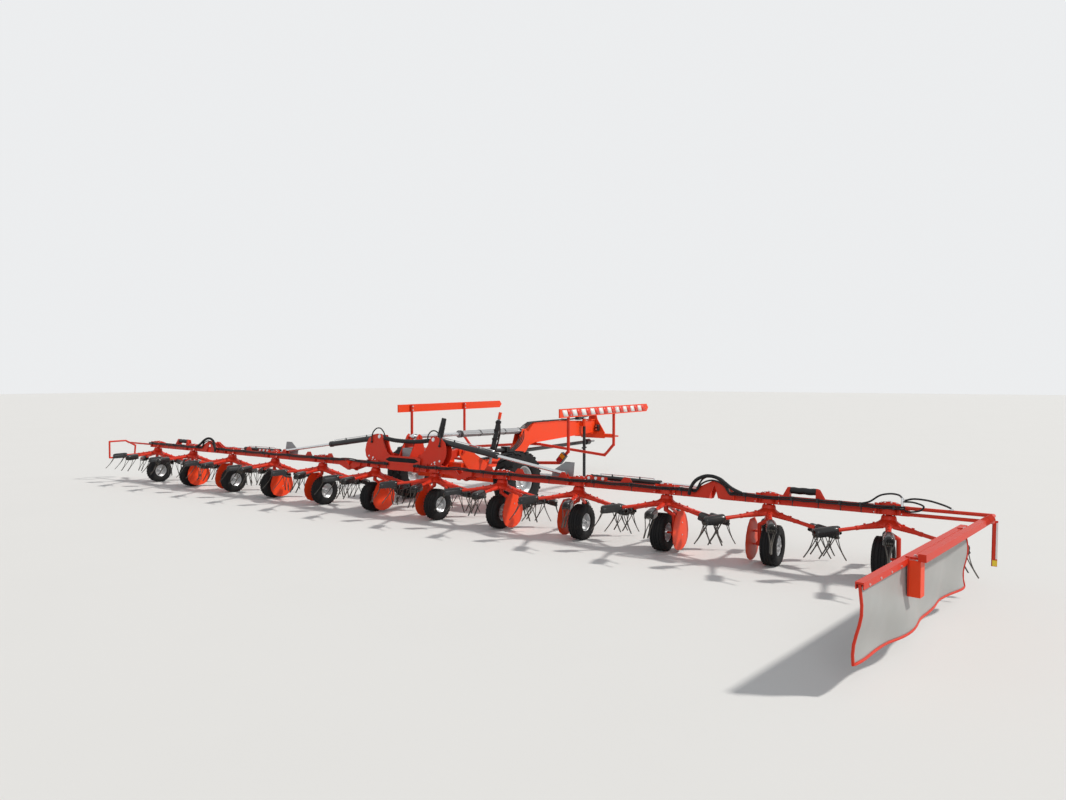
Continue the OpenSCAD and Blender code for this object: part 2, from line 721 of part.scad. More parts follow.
// The deflector's arm with its hanger and the rail that the canvas hangs from
module deflector_arm() {
    color(RED) placed() translate([deflector_x, -deflector_behind, deflector_z]) {
        difference() {
            union() {
                rotate(deflector_axis_turn) translate([0, 0, -38]) cylinder(h = 76, r = 34);
                rotate([0, 0, -deflector_turn]) {
                    translate([-deflector_box / 2, -deflector_arm_len, -deflector_box / 2])
                        cube([deflector_box, deflector_arm_len - 20, deflector_box]);
                    for (y = [-deflector_arm_len + 30, -rail_start - 200])
                        translate([-rail_in, y, -deflector_box / 2 + 5]) cube([rail_in, 40, 14]);
                    translate([-rail_in + 22, -deflector_arm_len + 10, -260]) cube([8, 90, 250]);
                    translate([-rail_in - 25, -rail_start - rail_len, -deflector_box / 2])
                        cube([50, rail_len, 12]);
                    for (x = [-rail_in - 25, -rail_in + 19])
                        translate([x, -rail_start - rail_len, -deflector_box / 2 - 30])
                            cube([6, rail_len, 34]);
                }
            }
            rotate(deflector_axis_turn) translate([0, 0, -39]) cylinder(h = 78, r = pin_r + run);
        }
    }
}

// The canvas that hangs from the rail
module deflector_canvas() {
    color([0.55, 0.55, 0.53]) placed()
        translate([deflector_x, -deflector_behind, deflector_z]) rotate([0, 0, -deflector_turn])
            translate([-rail_in - canvas_t / 2, -rail_start - rail_len + 4,
                -deflector_box / 2 - lie - canvas_h])
                cube([canvas_t, rail_len - 8, canvas_h]);
}

// A lift cylinder from the centre frame to an inner wing. Every rod's eye is one with its
// pin, which ends between the plates that hold it
lift_base = [lift_base_x, 0, lift_base_up];
lift_eye = [lift_eye_x, 0, lift_eye_up];
lift_len = norm(lift_eye - lift_base);
lift_dir = (lift_eye - lift_base) / lift_len;
// The rod's eye once the wing is folded upright, and the travel in the barrel
lift_eye_folded = [inner_hinge_x - lift_eye_up + inner_hinge_up, 0,
    inner_hinge_up + lift_eye_x - inner_hinge_x];
lift_stroke = lift_len - norm(lift_eye_folded - lift_base);
lift_bore_from = 50;

module lift_barrel(side) {
    half = lift_barrel_r - ear_gap;
    color(BLACK) row_frame() on_side(side) difference() {
        union() {
            rod(lift_base + lift_dir * 30, lift_base + lift_dir * lift_barrel_len, lift_barrel_r);
            bar_y(lift_base_x, lift_base_up, -half, 2 * half, 34);
        }
        bar_y(lift_base_x, lift_base_up, -half - 5, 2 * half + 10, pin_r + run);
        rod(lift_base + lift_dir * lift_bore_from, lift_base + lift_dir * (lift_barrel_len + 1),
            lift_rod_r + lie);
        for (v = [-lift_barrel_r - 20, half])
            bar_y(lift_base_x, lift_base_up, v, 20 + ear_gap, 42);
    }
}

module lift_rod(side) {
    color(STEEL) row_frame() on_side(side) {
        rod(lift_base + lift_dir * (lift_bore_from + lift_stroke + clear), lift_eye - lift_dir * 20,
            lift_rod_r);
        bar_y(lift_eye_x, lift_eye_up, -lug_v + 1, 2 * lug_v - 2, 28);
    }
}

// A fold cylinder from an inner wing to the crank of the outer one
fold_base = [fold_base_x, fold_v, fold_base_up];
fold_eye = [outer_hinge_x - crank_in, fold_v, outer_hinge_up - crank_down];
fold_len = norm(fold_eye - fold_base);
fold_dir = (fold_eye - fold_base) / fold_len;

module fold_barrel(side) {
    color(BLACK) row_frame() on_side(side) difference() {
        union() {
            rod(fold_base + fold_dir * 24, fold_base + fold_dir * fold_barrel_len, fold_barrel_r);
            bar_y(fold_base_x, fold_base_up, fold_v - fold_eye_t / 2, fold_eye_t, 30);
        }
        bar_y(fold_base_x, fold_base_up, fold_v - fold_eye_t, 2 * fold_eye_t, pin_r + run);
        rod(fold_base + fold_dir * 45, fold_base + fold_dir * (fold_barrel_len + 1), fold_rod_r + lie);
    }
}

module fold_rod(side) {
    color(STEEL) row_frame() on_side(side) {
        rod(fold_base + fold_dir * (fold_barrel_len - 300), fold_eye - fold_dir * 16, fold_rod_r);
        bar_y(fold_eye[0], fold_eye[2], fold_eye_v, fold_rod_r + 1 + fold_eye_t / 2, 24);
        bar_y(fold_eye[0], fold_eye[2], fold_v, fold_eye_t / 2 + 6, pin_r);
    }
}

// Hydraulic hoses along the rear face of a stretch of beam
module hoses(side, from, to) {
    color(BLACK) row_frame() on_side(side)
        for (w = [beam_up + 28, beam_up + 32 + 2 * hose_r])
            bar_x(from, -gear_case_r - hose_r - lie, w, to - from, hose_r);
}

module hoses_centre() {
    for (side = [-1, 1]) hoses(side, 230, inner_hinge_x - inner_hinge_gap - 80);
}

module hoses_inner(side) {
    hoses(side, inner_hinge_x + inner_hinge_gap + 80, outer_hinge_x - outer_hinge_gap - 170);
}

// The outer wing's hoses, with the padded bar between the rest brackets
module hoses_outer(side) {
    hoses(side, outer_hinge_x + outer_hinge_gap + 160, row_end_x - 20);
    color(BLACK) row_frame() on_side(side)
        bar_x(rest_from + 12 + lie, 0, beam_top + 60, rest_to - rest_from - 24 - 2 * lie, 30);
}

// The carriage: axle, uprights at the tilt pivot and the box that runs to the drawbar
module carriage_frame() {
    inner_face = carriage_track_half - carriage_wheel_w / 2;
    arm_in = tilt_arm_x + 38 + clear;
    color(ORANGE) placed() {
        translate([-inner_face + 40, axle_ahead - axle_box / 2, carriage_wheel_r - axle_box / 2])
            cube([2 * inner_face - 80, axle_box, axle_box]);
        bar_x(-carriage_track_half - 60, axle_ahead, carriage_wheel_r, 2 * carriage_track_half + 120, 30);
        for (side = [-1, 1]) on_side(side)
            difference() {
                plate_yz(upright, arm_in, 16);
                bar_x(arm_in - 1, tilt_pivot_ahead, tilt_pivot_z, 18, tilt_pin_r + run);
            }
        translate([-75, axle_ahead - 100, spine_bottom]) cube([150, drawbar_rear - axle_ahead + 100, 130]);
        translate([-arm_in - 15, axle_ahead + 60, spine_bottom])
            cube([2 * arm_in + 30, 90, 110]);
    }
}

spine_bottom = 470;
// Side outline of the carriage's uprights
upright = [
    [axle_ahead - 70, carriage_wheel_r - 40], [axle_ahead + 190, carriage_wheel_r - 20],
    [axle_ahead + 190, spine_bottom + 140], [tilt_pivot_ahead + 70, tilt_pivot_z + 60],
    [tilt_pivot_ahead - 30, tilt_pivot_z + 60], [tilt_pivot_ahead - 70, tilt_pivot_z + 20],
    [tilt_pivot_ahead - 70, tilt_pivot_z - 40]
];

// A carriage wheel's tyre with its lugs
module carriage_tyre(side) {
    color(BLACK) placed()
        translate([side * carriage_track_half, axle_ahead, carriage_wheel_r]) rotate([0, 90, 0])
            rotate_extrude($fn = 72)
                polygon(tyre_section(carriage_wheel_r, carriage_wheel_w, carriage_rim_r));
}

// Half-section of a tyre on its rim
function tyre_section(r, w, rim_r) =
    let (right = [
        [rim_r + lie, w / 2 - 40], [rim_r + 12, w / 2 - 16], [rim_r + 50, w / 2],
        [r - 70, w / 2], [r - 26, w / 2 - 12], [r - 6, w / 2 - 40], [r, w / 2 - 90]
    ])
    concat(right, [for (i = [len(right) - 1 : -1 : 0]) [right[i][0], -right[i][1]]]);

module carriage_rim(side) {
    w = carriage_wheel_w;
    color(STEEL) placed()
        translate([side * carriage_track_half, axle_ahead, carriage_wheel_r]) rotate([0, 90 * side, 0])
            rotate_extrude($fn = 64)
                polygon([
                    [30 + run, -60], [62, -60], [66, 20], [130, 34], [carriage_rim_r - 14, 20],
                    [carriage_rim_r - 14, -w / 2 + 44], [carriage_rim_r, -w / 2 + 40],
                    [carriage_rim_r, w / 2 - 40], [carriage_rim_r - 14, w / 2 - 44],
                    [carriage_rim_r - 8, 34], [130, 46], [70, 52], [50, 60], [30 + run, 60]
                ]);
}

// The drawbar: a deep deck on a gooseneck, with the mast for the tilt cylinder
module drawbar() {
    color(ORANGE) placed() {
        difference() {
            plate_yz([
                [drawbar_rear, spine_bottom], [drawbar_rear + 240, spine_bottom + 10],
                [drawbar_rear + 520, drawbar_bottom - 30], [drawbar_rear + 700, drawbar_bottom],
                [drawbar_front, drawbar_bottom + 60], [drawbar_front, drawbar_top - 60],
                [drawbar_rear + 1400, drawbar_top], [drawbar_rear + 640, drawbar_top],
                [drawbar_rear + 400, drawbar_top - 200], [drawbar_rear + 60, spine_bottom + 190],
                [drawbar_rear, spine_bottom + 180]
            ], -drawbar_w / 2, drawbar_w);
            translate([0, swivel_y, 0]) cylinder(h = 2000, r = 30 + run);
            bar_y(0, input_z, drawbar_rear - 1, drawbar_bottom, shaft_r + 2 * clear);
        }
        for (side = [-1, 1]) on_side(side)
            plate_yz([
                [drawbar_rear + 200, drawbar_top - 340], [drawbar_rear + 520, drawbar_top - 170],
                [drawbar_rear + 400, drawbar_top - 80], [drawbar_rear + 310, drawbar_top - 80]
            ], tilt_barrel_r + lie * 10, 14);
        bar_x(-tilt_barrel_r - 18, tilt_base[1], tilt_base[2], 2 * tilt_barrel_r + 36, 20);
        translate([-40, sleeve_y - 20, sleeve_z + sleeve_r + lie]) cube([80, 40, 40]);
        translate([drawbar_w / 2 - 1, stand_ahead - 30, drawbar_bottom + 195])
            cube([stand_x - drawbar_w / 2 - stand_r - 5, 60, 70]);
        translate([stand_x, stand_ahead, drawbar_bottom + 190]) difference() {
            cylinder(h = 130, r = stand_r + 9);
            translate([0, 0, -1]) cylinder(h = 132, r = stand_r + run);
        }
    }
}

// The headstock that swivels on the drawbar's nose and carries the lower link pins
module headstock() {
    plate_y = swivel_y + headstock_ahead;
    color(ORANGE) placed() {
        for (z = [drawbar_bottom + 26, drawbar_top - 48])
            translate([-60, swivel_y - 45, z]) cube([120, plate_y - swivel_y + 46, 24]);
        translate([0, swivel_y, drawbar_bottom + 27]) cylinder(h = drawbar_top - drawbar_bottom - 50, r = 30);
        plate_xz([
            [-250, link_z - 50], [250, link_z - 50], [250, link_z + 60], [95, drawbar_top - 30],
            [70, drawbar_top + 70], [-70, drawbar_top + 70], [-95, drawbar_top - 30], [-250, link_z + 60]
        ], plate_y, 20);
        bar_x(-link_span / 2, plate_y + 40, link_z, link_span, 38);
        bar_x(-link_span / 2 - 105, plate_y + 40, link_z, link_span + 210, link_pin_r);
    }
}

// The drive shaft under the drawbar, from the tilt pivot's axis to the splined input
module drive_shaft() {
    back = [0, tilt_pivot_ahead + 75, tilt_pivot_z];
    bearing = [0, drawbar_rear - 60, spine_bottom + 130 + lie + 90];
    front = [0, swivel_y - 40, input_z];
    color(STEEL) placed() {
        translate(back) sphere(r = 48);
        rod(back, bearing, shaft_r);
        translate(bearing - [60, 40, 90]) cube([120, 80, 150]);
        rod([0, drawbar_rear - 60, input_z], front, shaft_r);
        rod(front - [0, 120, 0], front, 52);
        rod(front, front + [0, 190, 0], input_r);
    }
}

// The parking stand: a sliding leg with a foot and a cross handle
module parking_stand() {
    color(BLACK) placed() translate([stand_x, stand_ahead, 0]) {
        cylinder(h = 14, r = 90);
        cylinder(h = drawbar_bottom + 330, r = stand_r);
        bar_y(0, drawbar_bottom - 200, -70, 140, 14);
    }
}

// The bent tubes that carry the guard boards out beside the folded wings. The rear pair
// stands on the carriage's spine, the front pair in a sleeve under the drawbar
post_z = 620;
sleeve_z = 735;
sleeve_y = board_front - 1140;
sleeve_r = post_r + 4;
module guard_frame() {
    rear = board_rear + 290;
    roots = [[75 + 4 * lie, rear, spine_bottom + 80], [100, sleeve_y, sleeve_z]];
    color(RED) placed() {
        for (side = [-1, 1], root = roots) on_side(side)
            bent_tube([root, [board_post_x - 160, root[1], post_z],
                [board_post_x, root[1], post_z + 180], [board_post_x, root[1], board_top - 6]],
                post_r, $fn = 32);
        bar_x(-130, sleeve_y, sleeve_z, 260, sleeve_r);
    }
}

// The striped boards outside the tubes
module guard_boards() {
    color(ORANGE) placed() for (side = [-1, 1]) on_side(side)
        translate([board_post_x + post_r + lie, 0, 0])
            plate_yz([
                [board_rear, board_top - board_h], [board_front - 60, board_top - board_h],
                [board_front, board_top - board_h + 60], [board_front, board_top - 60],
                [board_front - 60, board_top], [board_rear, board_top]
            ], 0, board_t);
}

drawbar();
headstock();
parking_stand();
carriage_frame();
guard_frame();
guard_boards();
drive_shaft();
carriage_tyre(-1);  // carriage_tyre_l
carriage_tyre(1);  // carriage_tyre_r
carriage_rim(-1);  // carriage_rim_l
carriage_rim(1);  // carriage_rim_r
centre_frame();
gearbox();
tilt_barrel();
tilt_rod();
inner_wing(-1);  // inner_wing_l
inner_wing(1);  // inner_wing_r
outer_wing(-1);  // outer_wing_l
outer_wing(1);  // outer_wing_r
lift_barrel(-1);  // lift_barrel_l
lift_barrel(1);  // lift_barrel_r
lift_rod(-1);  // lift_rod_l
lift_rod(1);  // lift_rod_r
fold_barrel(-1);  // fold_barrel_l
fold_barrel(1);  // fold_barrel_r
fold_rod(-1);  // fold_rod_l
fold_rod(1);  // fold_rod_r
deflector_arm();
deflector_canvas();
hoses_centre();
hoses_inner(-1);  // hoses_inner_l
hoses_inner(1);  // hoses_inner_r
hoses_outer(-1);  // hoses_outer_l
hoses_outer(1);  // hoses_outer_r
rotor(1);  // rotor_1
rotor(2);  // rotor_2
rotor(3);  // rotor_3
rotor(4);  // rotor_4
rotor(5);  // rotor_5
rotor(6);  // rotor_6
rotor(7);  // rotor_7
rotor(8);  // rotor_8
rotor(9);  // rotor_9
rotor(10);  // rotor_10
rotor(11);  // rotor_11
rotor(12);  // rotor_12
wheel(1);  // wheel_1
wheel(2);  // wheel_2
wheel(3);  // wheel_3
wheel(4);  // wheel_4
wheel(5);  // wheel_5
wheel(6);  // wheel_6
wheel(7);  // wheel_7
wheel(8);  // wheel_8
wheel(9);  // wheel_9
wheel(10);  // wheel_10
wheel(11);  // wheel_11
wheel(12);  // wheel_12
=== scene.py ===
# Trailed twelve-rotor hay tedder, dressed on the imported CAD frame.
# Sizes are in metres. X runs along the row of rotors, +Y is the direction of travel, Z is up.
import json
import math

import bmesh
import bpy
from mathutils import Matrix, Vector


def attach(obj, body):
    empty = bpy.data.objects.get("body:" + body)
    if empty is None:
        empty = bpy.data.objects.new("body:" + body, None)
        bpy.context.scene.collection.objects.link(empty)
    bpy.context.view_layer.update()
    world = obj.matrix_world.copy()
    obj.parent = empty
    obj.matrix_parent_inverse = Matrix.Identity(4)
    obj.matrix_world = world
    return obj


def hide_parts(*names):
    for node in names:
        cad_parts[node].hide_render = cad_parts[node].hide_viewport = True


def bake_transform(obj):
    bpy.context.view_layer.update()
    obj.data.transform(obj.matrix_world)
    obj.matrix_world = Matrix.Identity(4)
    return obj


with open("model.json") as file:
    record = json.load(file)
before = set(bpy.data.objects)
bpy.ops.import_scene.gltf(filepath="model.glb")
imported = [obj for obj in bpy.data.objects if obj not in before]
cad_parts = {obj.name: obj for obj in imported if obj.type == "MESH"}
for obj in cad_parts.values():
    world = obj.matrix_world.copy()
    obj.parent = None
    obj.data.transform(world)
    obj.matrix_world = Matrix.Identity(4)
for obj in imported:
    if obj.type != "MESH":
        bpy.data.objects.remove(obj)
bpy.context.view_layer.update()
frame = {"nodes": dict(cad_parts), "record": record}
scene = bpy.context.scene
scene.view_settings.view_transform = "Standard"

# Camera
# It stands behind the right-hand end of the row, about 1.8 m up, and looks along the row.
# ROW is the row's own place: its middle on the ground.
ROW = Matrix.Translation((0.0315, -1.12474, 0))
lens = bpy.data.cameras.new("camera")
lens.lens = 26.0
lens.sensor_width = 36.0
lens.clip_end = 200
camera = bpy.data.objects.new("camera", lens)
camera.location = ROW @ Vector((7.2, -7.53, 1.84))
camera.rotation_euler = Vector((-0.562, 0.827, -0.029)).to_track_quat("-Z", "Y").to_euler()
scene.collection.objects.link(camera)
scene.camera = camera


# Studio
# A soft sun from the front right and a weak one from behind, under an even pale sky, on a pale floor.
# The camera and the gloss see the sky nearly white, and it lights the object less.
def add_sun(name, strength, place, spread, colour):
    lamp = bpy.data.lights.new(name, "SUN")
    lamp.energy = strength
    lamp.color = colour
    lamp.angle = math.radians(spread)
    obj = bpy.data.objects.new(name, lamp)
    obj.location = place
    obj.rotation_euler = (-Vector(place)).to_track_quat("-Z", "Y").to_euler()
    scene.collection.objects.link(obj)


def add_sky():
    world = bpy.data.worlds.new("studio")
    world.use_nodes = True
    tree = world.node_tree
    tree.nodes.clear()
    out = tree.nodes.new("ShaderNodeOutputWorld")
    mix = tree.nodes.new("ShaderNodeMixShader")
    path = tree.nodes.new("ShaderNodeLightPath")
    either = tree.nodes.new("ShaderNodeMath")
    either.operation = "MAXIMUM"
    tree.links.new(path.outputs["Is Camera Ray"], either.inputs[0])
    tree.links.new(path.outputs["Is Glossy Ray"], either.inputs[1])
    tree.links.new(either.outputs[0], mix.inputs[0])
    lit, seen = ((0.93, 0.96, 1.0, 1), 0.36), ((0.84, 0.85, 0.86, 1), 1.0)
    for k, (colour, strength) in enumerate((lit, seen)):
        sky = tree.nodes.new("ShaderNodeBackground")
        sky.inputs["Color"].default_value = colour
        sky.inputs["Strength"].default_value = strength
        tree.links.new(sky.outputs[0], mix.inputs[k + 1])
    tree.links.new(mix.outputs[0], out.inputs["Surface"])
    scene.world = world


def shader(name, colour, rough, metallic=0.0, coat=0.0, gloss=0.5, grime=0.0, grain=18.0, bump=0.0,
           dirt=(0.20, 0.16, 0.10)):
    """A Principled material with soft grime and fine bumps from noise on Object coordinates."""
    mat = bpy.data.materials.new(name)
    mat.use_nodes = True
    tree = mat.node_tree
    bsdf = tree.nodes["Principled BSDF"]
    bsdf.inputs["Base Color"].default_value = (*colour, 1)
    for socket, value in (("Roughness", rough), ("Metallic", metallic), ("Specular IOR Level", gloss),
                          ("Coat Weight", coat), ("Coat Roughness", 0.12)):
        bsdf.inputs[socket].default_value = value
    coords = tree.nodes.new("ShaderNodeTexCoord")
    noise = tree.nodes.new("ShaderNodeTexNoise")
    noise.inputs["Scale"].default_value = grain
    noise.inputs["Detail"].default_value = 6
    tree.links.new(coords.outputs["Object"], noise.inputs["Vector"])
    if grime:
        ramp = tree.nodes.new("ShaderNodeValToRGB")
        clean, dirty = ramp.color_ramp.elements
        clean.position, clean.color = 0.46, (0, 0, 0, 1)
        dirty.position, dirty.color = 0.80, (grime, grime, grime, 1)
        mix = tree.nodes.new("ShaderNodeMix")
        mix.data_type = "RGBA"
        mix.inputs["A"].default_value = (*colour, 1)
        mix.inputs["B"].default_value = (*dirt, 1)
        tree.links.new(noise.outputs["Fac"], ramp.inputs["Fac"])
        tree.links.new(ramp.outputs["Color"], mix.inputs["Factor"])
        tree.links.new(mix.outputs["Result"], bsdf.inputs["Base Color"])
    if bump:
        node = tree.nodes.new("ShaderNodeBump")
        node.inputs["Strength"].default_value = bump
        node.inputs["Distance"].default_value = 0.002
        tree.links.new(noise.outputs["Fac"], node.inputs["Height"])
        tree.links.new(node.outputs["Normal"], bsdf.inputs["Normal"])
    return mat


add_sky()
add_sun("key", 2.6, (14, 7, 15), 4, (1.0, 0.97, 0.92))
add_sun("fill", 0.5, (6, -14, 9), 30, (0.95, 0.97, 1.0))
bm = bmesh.new()
bmesh.ops.create_grid(bm, x_segments=1, y_segments=1, size=90)
mesh = bpy.data.meshes.new("floor")
bm.to_mesh(mesh)
bm.free()
mesh.materials.append(shader("pale_floor", (0.78, 0.775, 0.76), 0.9, grime=0.05, grain=0.6,
                             dirt=(0.6, 0.6, 0.58)))
floor = bpy.data.objects.new("floor", mesh)
floor.location = (0, 0, -0.0005)
scene.collection.objects.link(floor)

# Carriage wheels
# Two farm tyres of black rubber with chevron lugs, on pressed steel rims. Six bolts hold each rim to
# its hub, round a turned cap. The lugs stand in the outer millimetres of the CAD tyre.
FINISH = {}


def finish(slot, material):
    """Keeps a slot's material for the new pieces and puts it on the slot's CAD nodes."""
    FINISH[slot] = material
    for row in frame["record"]["subparts"]:
        if row["material_slot"] == slot:
            mesh = frame["nodes"][row["node"]].data
            mesh.materials.clear()
            mesh.materials.append(material)


def piece(name, bm, slot, body, material=None, place=ROW, replaces=()):
    """A new piece from a bmesh, its place in its mesh. One with no body is left unattached for its caller."""
    mesh = bpy.data.meshes.new(name)
    bmesh.ops.recalc_face_normals(bm, faces=bm.faces)
    bm.to_mesh(mesh)
    bm.free()
    mesh.materials.append(material or FINISH[slot])
    mesh.shade_smooth()
    mesh.set_sharp_from_angle(angle=math.radians(35))
    mesh.transform(place)
    obj = bpy.data.objects.new(name, mesh)
    scene.collection.objects.link(obj)
    if replaces:
        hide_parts(*replaces)
    if body:
        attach(obj, body)
    return obj


def add_turned(bm, section, segments, centre=(0, 0, 0), axis=(1, 0, 0)):
    """Spins a closed section, given by its corners, full round an axis."""
    corners = [bm.verts.new(p) for p in section]
    sides = [bm.edges.new(ends) for ends in zip(corners, corners[1:] + corners[:1])]
    bmesh.ops.spin(bm, geom=corners + sides, cent=centre, axis=axis, angle=2 * math.pi,
                   steps=segments, use_merge=True)


def wheel_section(half):
    """A wheel's closed section from the (radius, width) corners of its right half."""
    return [(h, r, 0) for r, h in half] + [(-h, r, 0) for r, h in reversed(half)]


def add_box(bm, corner, opposite, matrix=None):
    """A block between two opposite corners."""
    corner, opposite = Vector(corner), Vector(opposite)
    made = bmesh.ops.create_cube(bm, size=1)["verts"]
    bmesh.ops.scale(bm, vec=[abs(c) for c in opposite - corner], verts=made)
    bmesh.ops.translate(bm, vec=(corner + opposite) / 2, verts=made)
    if matrix is not None:
        bmesh.ops.transform(bm, matrix=matrix, verts=made)


def add_rod(bm, a, b, r, segments=16, end_r=None):
    """A round bar from a to b, tapered where its end has a radius of its own."""
    a, b = Vector(a), Vector(b)
    turn = (b - a).to_track_quat("Z", "Y").to_matrix().to_4x4()
    made = bmesh.ops.create_cone(bm, cap_ends=True, segments=segments, radius1=r,
                                 radius2=r if end_r is None else end_r, depth=(b - a).length,
                                 matrix=Matrix.Translation((a + b) / 2) @ turn)
    return made["verts"]


def add_bolt(bm, place, axis, r=0.011, depth=0.010):
    """A hexagon head on its washer at place, facing along axis."""
    place, axis = Vector(place), Vector(axis).normalized()
    washer = place + axis * depth * 0.3
    add_rod(bm, place, washer, r * 1.35, 12)
    add_rod(bm, washer, place + axis * depth, r, 6)


def around(count, r, start=0.0):
    """Even places on a circle of radius r."""
    turns = [start + 2 * math.pi * k / count for k in range(count)]
    return [(r * math.cos(t), r * math.sin(t)) for t in turns]


TREAD_R, LUGS, LUG_LEAN = 0.4095, 20, math.radians(-38)


def chevron_tread(side):
    bm = bmesh.new()
    add_turned(bm, wheel_section([(0.2053, 0.110), (0.217, 0.134), (0.255, 0.150), (0.335, 0.150),
                                  (0.372, 0.140), (0.390, 0.112), (0.394, 0.060)]), 72)
    for k in range(LUGS):
        for hand, shift in ((-1, 0), (1, 0.5)):
            turn = Matrix.Rotation(2 * math.pi * (k + shift) / LUGS, 4, "X")
            lean = turn @ Matrix.Rotation(hand * LUG_LEAN * side, 4, "Z")
            add_box(bm, (0, -0.019, 0.384), (hand * 0.132, 0.019, TREAD_R), lean)
            shoulder = turn @ Matrix.Rotation(-0.20 * hand * side, 4, "X")
            middle = hand * 0.116
            add_box(bm, (middle - 0.012, -0.016, 0.345), (middle + 0.030, 0.016, 0.392), shoulder)
    # The lugs' corners are drawn in to the tread's own radius
    for v in bm.verts:
        r = math.hypot(v.co.y, v.co.z)
        if r > TREAD_R:
            v.co.yz = v.co.yz * (TREAD_R / r)
    return bm


finish("tyre", shader("tyre", (0.011, 0.011, 0.012), 0.74, gloss=0.2, grime=0.06, grain=14, bump=0.4))
finish("rim", shader("rim", (0.60, 0.61, 0.62), 0.32, metallic=0.75, grime=0.15, grain=16))
finish("steel", shader("steel", (0.66, 0.67, 0.68), 0.24, metallic=1.0, grain=40))
SIDES = (("r", 1), ("l", -1))
HALF_TRACK, AXLE_Y, AXLE_Z = 1.0, 1.2, 0.410
for name, side in SIDES:
    place = ROW @ Matrix.Translation((side * HALF_TRACK, AXLE_Y, AXLE_Z))
    body = f"carriage_wheel_{name}"
    piece(f"carriage_tyre_{name}_tread", chevron_tread(side), "tyre", body, place=place,
          replaces=[f"carriage_tyre_{name}"])
    bm = bmesh.new()
    for y, z in around(6, 0.100):
        add_bolt(bm, (side * 0.049, y, z), (side, 0, 0), 0.011, 0.014)
    add_rod(bm, (side * 0.055, 0, 0), (side * 0.085, 0, 0), 0.046, 32, 0.040)
    piece(f"carriage_hub_{name}", bm, "steel", body, place=place)


# Drawbar
# A welded box beam with a gooseneck, painted orange. Flat flanges are welded along its long edges,
# and the tractor's drive shaft slides on the six splines of the steel input shaft below it.
def add_strap(bm, a, b, wide, thick):
    """A flat bar along the line from a to b."""
    a, b = Vector(a), Vector(b)
    half = (b - a).length / 2
    turn = (b - a).to_track_quat("Y", "Z").to_matrix().to_4x4()
    add_box(bm, (-wide / 2, -half, -thick / 2), (wide / 2, half, thick / 2),
            Matrix.Translation((a + b) / 2) @ turn)


finish("orange_paint", shader("orange", (0.84, 0.055, 0.007), 0.45, coat=0.03, gloss=0.3, grime=0.10,
                              grain=4))
FLANGE_W, FLANGE_T = 0.148, 0.010
bm = bmesh.new()
add_strap(bm, (0, 2.985, 1.0885), (0, 3.752, 1.0885), FLANGE_W, FLANGE_T)
add_strap(bm, (0, 3.748, 1.0886), (0, 4.900, 1.0342), FLANGE_W, FLANGE_T)
add_strap(bm, (0, 3.050, 0.7715), (0, 4.980, 0.8300), FLANGE_W, FLANGE_T)
piece("drawbar_flanges", bm, "orange_paint", "carriage")
SHAFT_Z, SPLINES = 0.650, 6
bm = bmesh.new()
for k in range(SPLINES):
    turn = Matrix.Translation((0, 0, SHAFT_Z)) @ Matrix.Rotation(2 * math.pi * k / SPLINES, 4, "Y")
    add_box(bm, (-0.0042, 4.992, 0.0160), (0.0042, 5.104, 0.0183), turn)
piece("input_splines", bm, "steel", "carriage")


# Headstock
# Cast coupler blocks with two steel couplers each, bolted to the back of the headstock's plate.
# Their edges are rounded, as on all cast and moulded blocks here.
def soften(obj, width=0.005):
    rounding = obj.modifiers.new("edges", "BEVEL")
    rounding.width = width
    rounding.segments = 2


finish("black_paint", shader("black", (0.014, 0.014, 0.016), 0.30, coat=0.10, gloss=0.35, grime=0.08,
                             grain=9))
bm, caps = bmesh.new(), bmesh.new()
for side in (1, -1):
    add_box(bm, (side * 0.078, 5.006, 0.850), (side * 0.152, 5.0655, 0.965))
    for z in (0.880, 0.935):
        add_rod(caps, (side * 0.115, 5.010, z), (side * 0.115, 4.984, z), 0.015, 18)
soften(piece("headstock_blocks", bm, "black_paint", "headstock"))
piece("headstock_couplers", caps, "steel", "headstock")


# Drawbar hoses
# Four rubber hoses with steel ends run from the front along the drawbar and down its gooseneck to the
# carriage, held by moulded clamps. Behind the front clamp stands the coupler block.
def add_tube(bm, points, r, segments=10):
    """A tube along points: a circle is drawn out from place to place, turned as little as can be."""
    points = [Vector(p) for p in points]
    ends, side, last = [], None, None
    for i, p in enumerate(points):
        along = (points[min(i + 1, len(points) - 1)] - points[max(i - 1, 0)]).normalized()
        if side is None:
            side = along.orthogonal().normalized()
        side = (side - along * side.dot(along)).normalized()
        place = Matrix((-along.cross(side), side, along)).transposed().to_4x4()
        place.translation = p
        if last is None:
            bmesh.ops.create_circle(bm, radius=r, segments=segments, matrix=place)
            edges = [e for e in bm.edges if e.is_wire]
            ends += edges
        else:
            grown = bmesh.ops.extrude_edge_only(bm, edges=edges)["geom"]
            ring = [e for e in grown if isinstance(e, bmesh.types.BMVert)]
            edges = [e for e in grown if isinstance(e, bmesh.types.BMEdge)]
            bmesh.ops.transform(bm, matrix=place @ last.inverted(), verts=ring)
        last = place
    bmesh.ops.edgeloop_fill(bm, edges=ends + edges)


def smooth_path(points, steps=6):
    """Catmull-Rom points through a short list of places."""
    points = [Vector(p) for p in points]
    ends = [2 * points[0] - points[1], *points, 2 * points[-1] - points[-2]]
    path = []
    for i in range(1, len(ends) - 2):
        p0, p1, p2, p3 = ends[i - 1:i + 3]
        for k in range(steps):
            t = k / steps
            path.append(0.5 * (2 * p1 + (p2 - p0) * t + (2 * p0 - 5 * p1 + 4 * p2 - p3) * t ** 2
                               + (3 * p1 - p0 - 3 * p2 + p3) * t ** 3))
    return [*path, points[-1]]


def pair(side, points):
    """The same points on the right (1) or mirrored to the left (-1)."""
    return [(side * x, y, z) for x, y, z in points]


